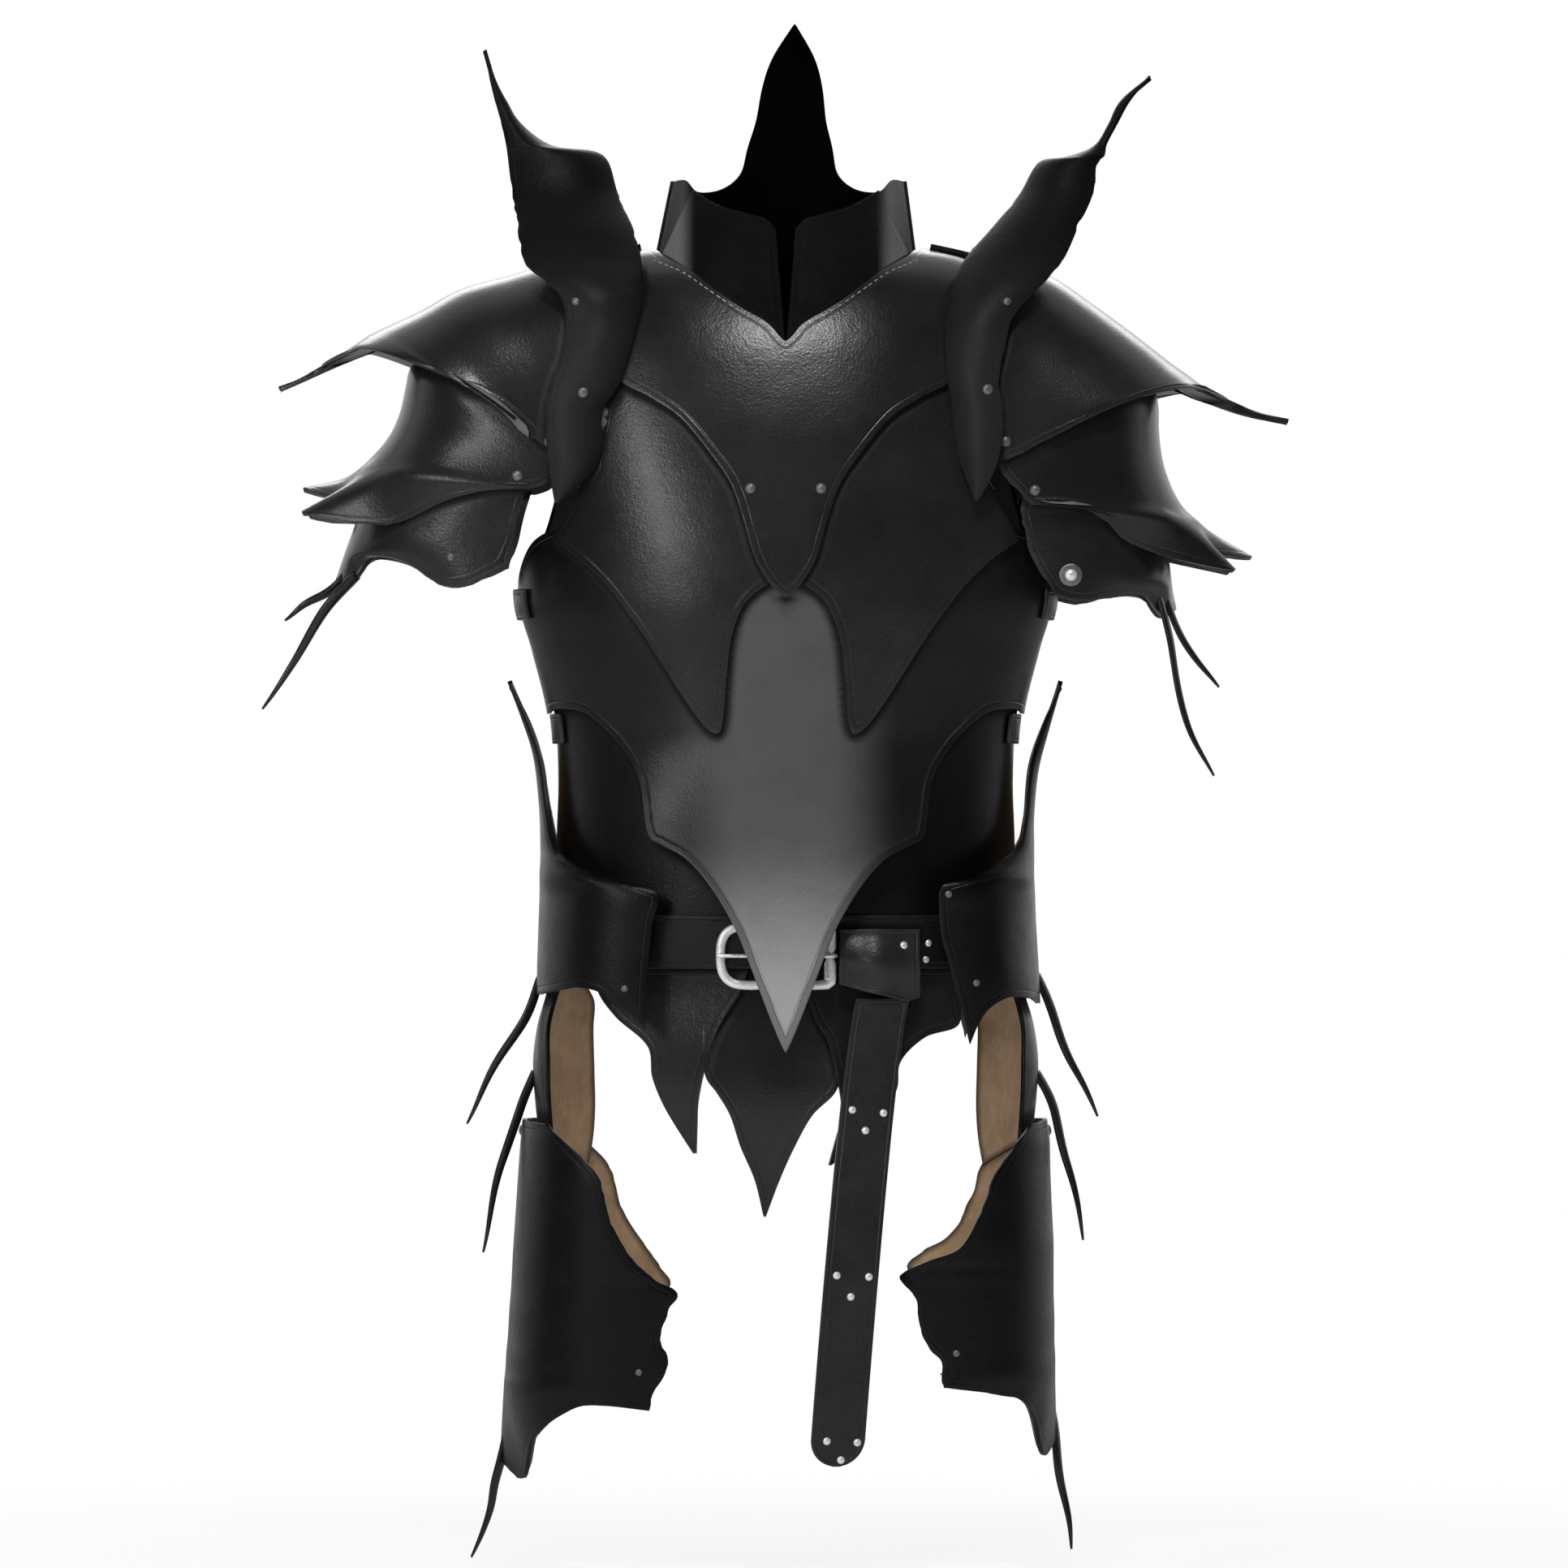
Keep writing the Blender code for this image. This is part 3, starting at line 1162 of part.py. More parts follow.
def hip_hanger(side, sign, hip):
    """A block of leather on the belt's side that carries the thigh guard."""
    level = BELT_SHARE * TORSO_SPAN
    lift = STRAP_GAP + FIT_GAP + BELT_THICKNESS
    inner, outer = face_hits(hip, Vector((0, 0, level)), Vector((sign, 0, 0)))
    thickness = abs(inner.x) - BUTT_GAP - belt_level(1, lift, 0).x
    ribs = []
    for turn in HIP_HANGER_TURN_SHARES:
        rib = []
        for row in (-1, 1):
            point = belt_level(turn, lift, 0)
            point.x *= sign
            point.z += row * HIP_HANGER_HEIGHT / 2
            rib.append(point)
        ribs.append(rib)
    sheet(
        "hip_hanger_" + side, ribs, STRAP_LEATHER, thickness=thickness,
        centre=Vector((0, 0, level)), outward=True
    )


def thigh_shell(name, sign, rows, rim=None):
    """A shell bent round the thigh, its front and rear edges swept past the side."""
    power = 2 / SHELL_ROUNDNESS
    ribs = []
    for crest, depth, front, rear, front_up, rear_up in rows:
        rib = []
        for column in range(-THIGH_COLUMNS, THIGH_COLUMNS + 1):
            part = column / THIGH_COLUMNS
            sweep = math.radians(front if part < 0 else rear) * part
            rise = math.copysign(abs(math.cos(sweep)) ** power, math.cos(sweep))
            reach = math.copysign(abs(math.sin(sweep)) ** power, sweep) * depth
            out = THIGH_CENTRE_SHARE + (crest[0] - THIGH_CENTRE_SHARE) * rise
            up = lerp(crest[1], front_up if part < 0 else rear_up, part * part)
            rib.append(guard_place(sign, out, up, -reach))
        ribs.append(rib)
    if rim:
        crest, depth, front, rear, front_up, rear_up = rows[-1]
        rib = []
        for column in range(-THIGH_COLUMNS, THIGH_COLUMNS + 1):
            sweep = math.radians(front if column < 0 else rear) * column / THIGH_COLUMNS
            reach = math.copysign(abs(math.sin(sweep)) ** power, sweep) * depth
            out, up = rim[THIGH_COLUMNS - abs(column)]
            rib.append(guard_place(sign, out, up, -reach))
        ribs.append(rib)
    root = guard_place(sign, THIGH_CENTRE_SHARE, rows[0][0][1], 0)
    return sheet(name, ribs, BLACK_LEATHER, centre=Vector((root.x, 0, root.z)))


def thigh_guard(side, sign):
    hip = arch("hip_plate_" + side, guard_place, sign, HIP_RIB_SHARES[side], HIP_RIM_SHARES[side])
    hip_hanger(side, sign, hip)
    lame = thigh_shell("thigh_lame_" + side, sign, THIGH_LAME_SHARES)
    plate = thigh_shell("thigh_plate_" + side, sign, THIGH_PLATE_SHARES[side], THIGH_RIM_SHARES[side])
    strands = ((hip, HIP_STRAND_SHARES), (lame, LAME_STRAND_SHARES), (plate, PLATE_STRAND_SHARES))
    for piece, shares in strands:
        join_strand(piece, strand(piece.name + "_strand", guard_place, sign, shares[side]))
    band(
        "thigh_strap_" + side, sign, guard_place, plate, THIGH_STRAP_SHARES[side], SIDE_STRAP_HEIGHT,
        THIGH_STRAP_INSET_SHARE
    )
    pivots = (
        ("hip_pivot_", hip, lame, THIGH_LAME_PIVOT_SHARE),
        ("thigh_pivot_", lame, plate, THIGH_PLATE_PIVOT_SHARE),
    )
    for label, outer, inner, up in pivots:
        if label == "thigh_pivot_":
            outer, inner = inner, outer
        start = guard_place(sign, 1, up, 0)
        pin_pieces(label + side, outer, inner, start, Vector((-sign, 0, 0)))


clear_scene()
torso_plates()
collar()
nape_guard()
side_straps()
belt()
belt_buckle()
belt_tongue()
belt_wrap()
belt_tail()
flap_hanger()
hanging_flap("hanging_flap_left", LEFT_FLAP_SHARES, FIT_GAP)
hanging_flap("hanging_flap_centre", CENTRE_FLAP_SHARES, CENTRE_FLAP_DEPTH)
hanging_flap("hanging_flap_right", RIGHT_FLAP_SHARES, FIT_GAP)
for side_name, side_sign in (("left", -1), ("right", 1)):
    shoulder(side_name, side_sign)
    thigh_guard(side_name, side_sign)
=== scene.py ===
import math

import bmesh
import bpy
import numpy as np
from mathutils import Matrix, Quaternion, Vector, noise
from mathutils.kdtree import KDTree


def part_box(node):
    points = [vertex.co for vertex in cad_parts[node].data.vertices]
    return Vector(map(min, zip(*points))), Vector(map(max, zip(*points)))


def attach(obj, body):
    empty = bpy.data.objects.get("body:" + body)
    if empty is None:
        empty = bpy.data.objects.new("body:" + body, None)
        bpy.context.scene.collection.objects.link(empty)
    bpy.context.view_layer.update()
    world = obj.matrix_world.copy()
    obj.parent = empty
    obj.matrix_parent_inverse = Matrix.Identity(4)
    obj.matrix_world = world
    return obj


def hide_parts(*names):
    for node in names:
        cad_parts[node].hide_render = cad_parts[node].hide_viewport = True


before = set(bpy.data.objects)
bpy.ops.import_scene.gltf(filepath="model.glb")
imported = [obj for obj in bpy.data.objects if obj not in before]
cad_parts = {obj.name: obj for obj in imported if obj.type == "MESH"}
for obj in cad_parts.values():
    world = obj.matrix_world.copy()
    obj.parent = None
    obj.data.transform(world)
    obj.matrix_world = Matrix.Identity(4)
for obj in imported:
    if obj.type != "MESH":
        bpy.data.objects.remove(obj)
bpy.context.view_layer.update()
print("frame loaded:", len(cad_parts), "nodes")

# Leather body armour. Front looks along -Y, +X is the right of the front view.
sides = {"left": -1, "right": 1}
span = 0.600
drawing = {
    "leather": 0.0035, "strap": 0.003, "pitch": 0.0055, "grid": 0.0034, "merge": 0.00001,
    # the photograph: metres for a pixel, and the pixel at the frame's origin
    "pixel": 0.0006, "middle": 968, "top": 320,
}


def shares(table):
    # Tables hold thousandths of the span, which are the photograph's pixels from the neck's middle
    if isinstance(table, dict):
        return {key: shares(rows) for key, rows in table.items()}
    return tuple(map(shares, table)) if isinstance(table, (tuple, list)) else table / 1000


def linked(name, data):
    made = bpy.data.objects.new(name, data)
    bpy.context.scene.collection.objects.link(made)
    return made


# Camera, lights and floor
view = {"distance": 9.0, "width": 1.159, "x": -0.0012, "z": -0.3876, "sensor": 36, "clipEnd": 60}
camera = linked("camera", bpy.data.cameras.new("camera"))
camera.location = (view["x"], -view["distance"], view["z"])
camera.rotation_euler = (math.radians(90), 0, 0)
camera.data.sensor_width = view["sensor"]
camera.data.lens = view["sensor"] * view["distance"] / view["width"]
camera.data.clip_end = view["clipEnd"]
bpy.context.scene.camera = camera
bpy.context.scene.view_settings.view_transform = "Standard"

lamps = {
    # place, what it looks at, size, power, roll in degrees, whether gloss mirrors it
    "overhead": ((0.0, -1.9, 1.75), (0, 0, -0.3), (0.45, 0.28), 32, 0, True),
    "leftStrip": ((-1.28, -1.95, 0.35), (0, 0, -0.2), (0.16, 1.5), 17, 37, True),
    "frontFill": ((-0.4, -3.2, 0.2), (0, 0, -0.4), (2.0, 1.6), 36, 0, False),
    "backRim": ((0.0, 2.4, 1.2), (0, 0, -0.3), (2.6, 0.8), 26, 0, True),
}
for name, (spot, towards, size, power, roll, gloss) in lamps.items():
    light = bpy.data.lights.new(name, "AREA")
    light.shape = "RECTANGLE"
    light.size, light.size_y = size
    light.energy = power
    shown = linked(name, light)
    shown.location = spot
    shown.visible_glossy = gloss
    aim = Vector(towards) - Vector(spot)
    turned = Quaternion((0, 0, 1), math.radians(roll))
    shown.rotation_euler = (aim.to_track_quat("-Z", "Y") @ turned).to_euler()


# Materials: a signal is one socket, and sums on signals add Math nodes
class Signal:
    def __init__(self, finish, socket):
        self.finish = finish
        self.socket = socket

    def sum(self, operation, first, second=0.0, third=0.0):
        return self.finish.add("ShaderNodeMath", {"operation": operation}, {0: first, 1: second, 2: third})

    def __add__(self, other):
        return self.sum("ADD", self, other)

    def __radd__(self, other):
        return self.sum("ADD", other, self)

    def __sub__(self, other):
        return self.sum("SUBTRACT", self, other)

    def __rsub__(self, other):
        return self.sum("SUBTRACT", other, self)

    def __mul__(self, other):
        return self.sum("MULTIPLY", self, other)

    def __rmul__(self, other):
        return self.sum("MULTIPLY", other, self)

    def __pow__(self, other):
        return self.sum("POWER", self, other)

    def __abs__(self):
        return self.sum("ABSOLUTE", self)

    def ramp(self, low, high, start=0.0, end=1.0):
        return self.finish.add(
            "ShaderNodeMapRange", {"interpolation_type": "SMOOTHSTEP"},
            {"Value": self, "From Min": low, "From Max": high, "To Min": start, "To Max": end}
        )


class Finish:
    def __init__(self, name, tree=None):
        if tree is None:
            self.material = bpy.data.materials.new(name)
            self.material.use_nodes = True
            tree = self.material.node_tree
        self.tree = tree
        self.tree.nodes.clear()

    def add(self, kind, settings=None, values=None, output=0):
        node = self.tree.nodes.new(kind)
        for key, value in (settings or {}).items():
            setattr(node, key, value)
        for key, value in (values or {}).items():
            if isinstance(value, Signal):
                self.tree.links.new(value.socket, node.inputs[key])
            else:
                node.inputs[key].default_value = value
        return Signal(self, node.outputs[output])

    def noise(self, place, scale, detail=3.0, roughness=0.55):
        return self.add(
            "ShaderNodeTexNoise", {}, {"Vector": place, "Scale": scale, "Detail": detail, "Roughness": roughness}
        )

    def blend(self, share, first, second):
        first, second = ((*colour, 1) if isinstance(colour, tuple) else colour for colour in (first, second))
        return self.add("ShaderNodeMix", {"data_type": "RGBA"}, {0: share, 6: first, 7: second}, 2)

    def place(self):
        return self.add("ShaderNodeTexCoord", output="Object")

    def stretched(self, place, scale, rotation):
        return self.add("ShaderNodeMapping", {}, {"Vector": place, "Rotation": rotation, "Scale": scale})

    def measured(self, name):
        return self.add("ShaderNodeAttribute", {"attribute_name": name}, output="Fac")

    def bump(self, height, strength=1.0, distance=0.001):
        return self.add(
            "ShaderNodeBump", {}, {"Strength": strength, "Distance": distance, "Height": height}
        )

    def close(self, values):
        self.end(self.add("ShaderNodeBsdfPrincipled", {}, values))
        return self.material

    def end(self, shader, kind="ShaderNodeOutputMaterial"):
        node = self.tree.nodes.new(kind)
        self.tree.links.new(shader.socket, node.inputs["Surface"])


def leatherFinish(name, look):
    # Dyed grain leather: pebbles, pores, fine creases, a cloudy dyed tone and burnished rims; the colour also gets
    # lighter by place where a look lists fades (painted light on the abdomen, collar and inner faces), and painted
    # shade near the rims of the plates that lie over it
    mat = Finish(name)
    place = mat.place()
    rim = mat.measured("rimDistance")
    pebbles = mat.add(
        "ShaderNodeTexVoronoi", {"feature": "SMOOTH_F1"}, {"Vector": place, "Scale": look["grainScale"]}, "Distance"
    )
    pores = mat.noise(place, 1500, 3)
    cloud = mat.noise(place, 9, 4, 0.6)
    patch = mat.noise(place, 46, 6, 0.68)
    wander = mat.noise(mat.stretched(place, (30, 95, 38), (0.35, 0.5, 0.6)), 1.0, 5, 0.6)
    crease = (1 - abs(wander * 2 - 1)) ** 22
    rimBand = rim.ramp(0.0, look["rimWidth"], 1.0, 0.0)
    worn = rimBand * patch.ramp(0.35, 0.75) * look["wear"]
    groove = abs(rim - look["lineAt"]).ramp(0.0002, 0.0011, 1.0, 0.0) * look["lineDepth"]
    rub = patch.ramp(0.62, 0.8) * look["rub"]
    leatherColour = mat.blend(cloud.ramp(0.3, 0.7), look["dark"], look["light"])
    # Lighter by place: painted light on the abdomen's middle and lower tip, on the collar's sides and on the inner
    # faces beyond the neck; on the fins it is only lighter towards the bottom
    for axis, start, end, share in look.get("buffs", []):
        spot = mat.add("ShaderNodeSeparateXYZ", {}, {0: place}, axis)
        fade = (abs(spot) if axis == "X" else spot).ramp(start, end) * patch.ramp(0.1, 0.6, 0.8, 1.0)
        leatherColour = mat.blend(fade * share, leatherColour, look["buffed"])
    leatherColour = mat.blend(worn + rub, leatherColour, look["worn"])
    # Painted shade: darker and rougher close to the rims of the plates that lie over this one, where their shadow
    # falls
    paintedSeamShade = mat.measured("seamDistance").ramp(0.0015, look["seamShadeWidth"], 0.9, 0.0)
    leatherColour = mat.blend(paintedSeamShade, leatherColour, (0.0006, 0.0006, 0.0006))
    height = (
        pebbles * look["grain"] + pores * (look["grain"] * 0.35) - crease * look["crease"]
        - groove + patch * look["dents"]
    )
    leatherColour = mat.blend(rim.ramp(look["lineAt"] - 0.0004, look["lineAt"], look["border"], 0.0), leatherColour, look["dark"])
    roughness = (
        look["rough"] + (patch - 0.5) * look["roughSpread"] + groove * 0.12 + crease * look["crease"]
        + worn * 0.15 + paintedSeamShade * 0.5
    )
    return mat.close({
        "Base Color": leatherColour, "Roughness": roughness, "Normal": mat.bump(height), "Specular IOR Level": look["specular"]
    })


def fleshFinish(name, look):
    # The unfinished inner face of a hide, napped and fibrous
    mat = Finish(name)
    place = mat.place()
    fibres = mat.stretched(place, (1, 1, 0.35), (0.2, 0.3, 0.1))
    nap = mat.noise(fibres, 820, 4, 0.7)
    fleck = mat.noise(fibres, 240, 5, 0.7)
    cloud = mat.noise(place, 18, 4, 0.6)
    stain = mat.measured("rimDistance").ramp(0.0, 0.006, 1.0, 0.0) * look["stain"]
    hide = mat.blend(cloud.ramp(0.3, 0.7), look["dark"], look["light"])
    hide = mat.blend(fleck.ramp(0.45, 0.75) * 0.4, hide, look["fleck"])
    hide = mat.blend(stain, hide, look["edge"])
    return mat.close({
        "Base Color": hide, "Roughness": 0.82 + (nap - 0.5) * 0.2, "Normal": mat.bump(nap * 0.35 + fleck * 0.3),
        "Specular IOR Level": 0.25
    })


def steelFinish(name, look):
    # Nickel plate with fine scratches and darker handling marks
    mat = Finish(name)
    place = mat.place()
    scratch = mat.noise(mat.stretched(place, (1, 1, 9), (0.4, 0.1, 0.2)), 900, 4, 0.7)
    tarnish = mat.noise(place, 260, 5, 0.65)
    metal = mat.blend(tarnish.ramp(0.45, 0.75), look["bright"], look["dull"])
    return mat.close({
        "Base Color": metal, "Metallic": 0.55, "Roughness": look["rough"] + (tarnish - 0.5) * 0.25,
        "Normal": mat.bump(scratch, 0.3, 0.0003)
    })


def grey(level, blue=None):
    return (level, level, level if blue is None else blue)


plainLook = {
    "grainScale": 620, "grain": 0.08, "crease": 0.012, "dents": 0.30, "rough": 0.26, "roughSpread": 0.20,
    "rimWidth": 0.0030, "wear": 0.2, "rub": 0.02, "lineAt": 0.0052, "lineDepth": 0.16, "seamShadeWidth": 0.0080,
    "border": 0.0, "specular": 0.30,
}
leatherLooks = {
    "plateLeather": {
        "dark": grey(0.0058, 0.0060), "light": grey(0.0125, 0.0128), "worn": grey(0.016),
        "roughSpread": 0.10, "wear": 0.14, "rub": 0.03,
    },
    "tooledLeather": {
        "dark": grey(0.0034, 0.0036), "light": grey(0.0070, 0.0072), "worn": grey(0.080, 0.079),
        "crease": 0.008, "dents": 0.22, "rough": 0.31, "roughSpread": 0.14, "lineAt": 0.0056, "lineDepth": 0.75,
        "seamShadeWidth": 0.0090, "border": 0.55, "specular": 0.24,
        # Painted light: lighter towards the middle, and much lighter towards the tip, where the light falls on it
        "buffs": [("X", 0.085, 0.030, 0.22), ("Z", -0.425, -0.560, 1.0)], "buffed": grey(0.235, 0.233),
    },
    "guardLeather": {
        "dark": grey(0.0008, 0.0009), "light": grey(0.0024, 0.0025), "worn": grey(0.016),
        "grain": 0.10, "crease": 0.015, "dents": 0.35, "rough": 0.36, "seamShadeWidth": 0.0120, "specular": 0.18,
    },
    "finLeather": {
        "dark": grey(0.0007, 0.0008), "light": grey(0.0026, 0.0027), "worn": grey(0.018),
        "grainScale": 520, "grain": 0.14, "crease": 0.02, "dents": 0.35, "rough": 0.46, "wear": 0.35, "rub": 0.03,
        # Lighter towards the bottom of the fin
        "lineDepth": 0.10, "specular": 0.10, "buffs": [("Z", 0.020, -0.090, 1.0)], "buffed": grey(0.014),
    },
    "collarLeather": {
        "dark": grey(0.0004), "light": grey(0.0028), "worn": grey(0.012),
        "grainScale": 430, "grain": 0.30, "crease": 0.08, "dents": 0.55, "rough": 0.62, "roughSpread": 0.26,
        "wear": 0.45, "rub": 0.14, "lineAt": 0.0045, "lineDepth": 0.20, "seamShadeWidth": 0.0060, "specular": 0.06,
        # Painted light: lighter at the collar's sides, where light falls on it
        "buffs": [("X", 0.066, 0.080, 1.0)], "buffed": grey(0.095, 0.094),
    },
    "strapLeather": {
        "dark": grey(0.0085, 0.0087), "light": grey(0.0165, 0.0168), "worn": grey(0.030, 0.029),
        "grainScale": 760, "grain": 0.12, "crease": 0.08, "dents": 0.22, "rough": 0.34, "rimWidth": 0.0020,
        "wear": 0.55, "rub": 0.10, "lineAt": 0.0034, "lineDepth": 0.35, "seamShadeWidth": 0.0070,
    },
    "beltLeather": {
        "dark": grey(0.0022, 0.0023), "light": grey(0.0055, 0.0056), "worn": grey(0.03),
        "grainScale": 700, "grain": 0.12, "crease": 0.08, "dents": 0.22, "rough": 0.40, "rimWidth": 0.0020,
        "wear": 0.55, "rub": 0.08, "lineAt": 0.0034, "lineDepth": 0.40, "specular": 0.20,
    },
    "blackSuede": {
        "dark": grey(0.0003), "light": grey(0.0009), "worn": grey(0.003),
        "grainScale": 1100, "grain": 0.35, "crease": 0.03, "dents": 0.20, "rough": 0.90, "roughSpread": 0.10,
        "wear": 0.30, "rub": 0.20, "lineAt": 0.0500, "lineDepth": 0.0, "seamShadeWidth": 0.0060, "specular": 0.02,
        # Painted light: inner faces lighter beyond the sides of the neck, where light falls on the collar's side
        # strips
        "buffs": [("X", 0.068, 0.078, 1.0)], "buffed": grey(0.110, 0.109),
    },
}
fleshLooks = {
    "tanFlesh": {
        "dark": (0.360, 0.235, 0.140), "light": (0.540, 0.380, 0.235), "fleck": (0.640, 0.490, 0.330),
        "edge": (0.045, 0.034, 0.026), "stain": 0.85,
    },
    "waxedThread": {
        "dark": (0.150, 0.148, 0.142), "light": (0.260, 0.257, 0.250), "fleck": (0.34, 0.335, 0.325),
        "edge": grey(0.10), "stain": 0.0,
    },
}
steelLooks = {
    "nickelSteel": {"bright": grey(0.72, 0.71), "dull": (0.56, 0.55, 0.53), "rough": 0.26},
    "agedSteel": {"bright": grey(0.13, 0.128), "dull": grey(0.06, 0.058), "rough": 0.30},
}
finishes = {name: leatherFinish(name, {**plainLook, **look}) for name, look in leatherLooks.items()}
finishes.update({name: fleshFinish(name, look) for name, look in fleshLooks.items()})
finishes.update({name: steelFinish(name, look) for name, look in steelLooks.items()})
print("materials made:", len(finishes))


def meshFrom(bm, name, *finishNames):
    mesh = bpy.data.meshes.new(name)
    bm.to_mesh(mesh)
    bm.free()
    mesh.shade_smooth()
    for finish in finishNames:
        mesh.materials.append(finishes[finish])
    return mesh


# Floor and surroundings: white to the camera, with the shadow kept on the floor
def whiteWorld():
    # White behind the object and to the camera; the room in front of it is dim
    world = bpy.data.worlds.new("surroundings")
    bpy.context.scene.world = world
    world.use_nodes = True
    room = Finish("surroundings", world.node_tree)
    rays = ("Is Camera Ray", "Is Glossy Ray", "Is Transmission Ray")
    seen, glossy, through = (room.add("ShaderNodeLightPath", output=ray) for ray in rays)
    direction = room.add("ShaderNodeTexCoord", output="Generated")
    behind = room.add("ShaderNodeSeparateXYZ", {}, {0: direction}, "Y").ramp(-0.25, 0.35)
    mirrored = glossy.sum("MAXIMUM", glossy, through)
    strength = mirrored * (0.05 + behind * 0.95) + (1 - mirrored) * 0.25
    lit = room.add("ShaderNodeBackground", {}, {
        "Color": (1, 1, 1, 1), "Strength": strength.sum("MAXIMUM", seen, strength)
    })
    room.end(lit, "ShaderNodeOutputWorld")


def paleFloor(level):
    bm = bmesh.new()
    bmesh.ops.create_grid(bm, x_segments=8, y_segments=8, size=14)
    bmesh.ops.translate(bm, verts=bm.verts, vec=(0, 0, level))
    floor = linked("floor", meshFrom(bm, "floor"))
    mat = Finish("paleFloor")
    rays = mat.add("ShaderNodeLightPath", output="Is Camera Ray")
    place = mat.place()
    tone = mat.noise(place, 3, 3).ramp(0.3, 0.7)
    paint = mat.add("ShaderNodeBsdfDiffuse", {}, {"Color": mat.blend(tone, grey(0.90), grey(0.93))})
    glow = mat.add("ShaderNodeEmission", {}, {"Color": (1, 1, 1, 1), "Strength": 1.0})
    spot = mat.add("ShaderNodeVectorMath", {"operation": "LENGTH"}, {0: place}, "Value")
    mat.end(mat.add("ShaderNodeMixShader", {}, {0: rays * spot.ramp(0.9, 1.8, 0.84, 1.0), 1: paint, 2: glow}))
    floor.data.materials.append(mat.material)


whiteWorld()
paleFloor(-0.975)
print("camera, lamps and floor set")


# Making leather
def easedCurve(start, startSlope, end, endSlope, t):
    return (
        (2 * t ** 3 - 3 * t ** 2 + 1) * start + (t ** 3 - 2 * t ** 2 + t) * startSlope
        + (3 * t ** 2 - 2 * t ** 3) * end + (t ** 3 - t ** 2) * endSlope
    )


def runThrough(rows, spacing):
    # A smooth run through every row, with rows added until none is further off than the spacing
    rows = np.asarray(rows, float)
    padded = np.concatenate([[2 * rows[0] - rows[1]], rows, [2 * rows[-1] - rows[-2]]])
    made = [rows[0]]
    for index in range(len(rows) - 1):
        a, b, c, d = padded[index:index + 4]
        ab, bc, cd = (
            np.maximum(np.sqrt(np.linalg.norm(end - start, axis=-1, keepdims=True)), 1e-4)
            for start, end in ((a, b), (b, c), (c, d))
        )
        startSlope = ((b - a) / ab - (c - a) / (ab + bc) + (c - b) / bc) * bc
        endSlope = ((c - b) / bc - (d - b) / (bc + cd) + (d - c) / cd) * bc
        steps = max(1, math.ceil(np.linalg.norm(c - b, axis=-1).max() / spacing))
        for step in range(1, steps + 1):
            made.append(easedCurve(b, startSlope, c, endSlope, step / steps))
    return np.array(made)


def alongTable(points, position):
    # Value of a short table at a place between its entries, smoothly joined
    points = np.asarray(points, float)
    index = min(int(position), len(points) - 2)
    t = position - index
    a = points[max(index - 1, 0)]
    b, c = points[index], points[index + 1]
    d = points[min(index + 2, len(points) - 1)]
    return 0.5 * (2 * b + (c - a) * t + (2 * a - 5 * b + 4 * c - d) * t ** 2 + (3 * b - a - 3 * c + d) * t ** 3)


def bothHalves(grid, axis):
    other = np.delete(np.flip(grid, axis) * np.array([-1, 1, 1]), -1, axis)
    return np.concatenate([other, grid], axis)


def addPiece(name, mesh, body, replaced=()):
    piece = linked(name, mesh)
    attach(piece, body)
    if replaced:
        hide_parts(*replaced)
    return piece


def nearestTree(spots):
    tree = KDTree(len(spots))
    for index, spot in enumerate(spots):
        tree.insert(spot, index)
    tree.balance()
    return tree


def measureRim(bm, distanceAt):
    # What the leather finish reads: distance to the rim, and to a seam where markSeams finds one
    rim = bm.verts.layers.float.new("rimDistance")
    seam = bm.verts.layers.float.new("seamDistance")
    for vert in bm.verts:
        vert[rim] = distanceAt(vert)
        vert[seam] = 1.0


tearing = {"coarse": 48, "fine": 150, "fineShare": 0.55, "reach": 0.012, "room": 0.0018}


def tearRim(bm, tree, depth):
    # Cuts shallow notches into the rim, fading inward; narrow tips keep their width
    cuts = []
    for vert in bm.verts:
        if not vert.is_boundary:
            continue
        inward = (edge.other_vert(vert).co - vert.co for edge in vert.link_edges if not edge.is_boundary)
        ahead = sum(inward, Vector())
        room = min(ahead.length / tearing["room"], 1)
        wave = noise.noise(vert.co * tearing["coarse"])
        wave += tearing["fineShare"] * noise.noise(vert.co * tearing["fine"])
        cuts.append(ahead.normalized() * depth * room * max(wave, 0) if ahead.length else Vector())
    moved = []
    for vert in bm.verts:
        spot, index, gap = tree.find(vert.co)
        if gap < tearing["reach"]:
            moved.append((vert, vert.co + cuts[index] * (1 - gap / tearing["reach"]) ** 2))
    for vert, spot in moved:
        vert.co = spot


roundedRims = {"width": 0.0007, "segments": 2, "angle": 55}


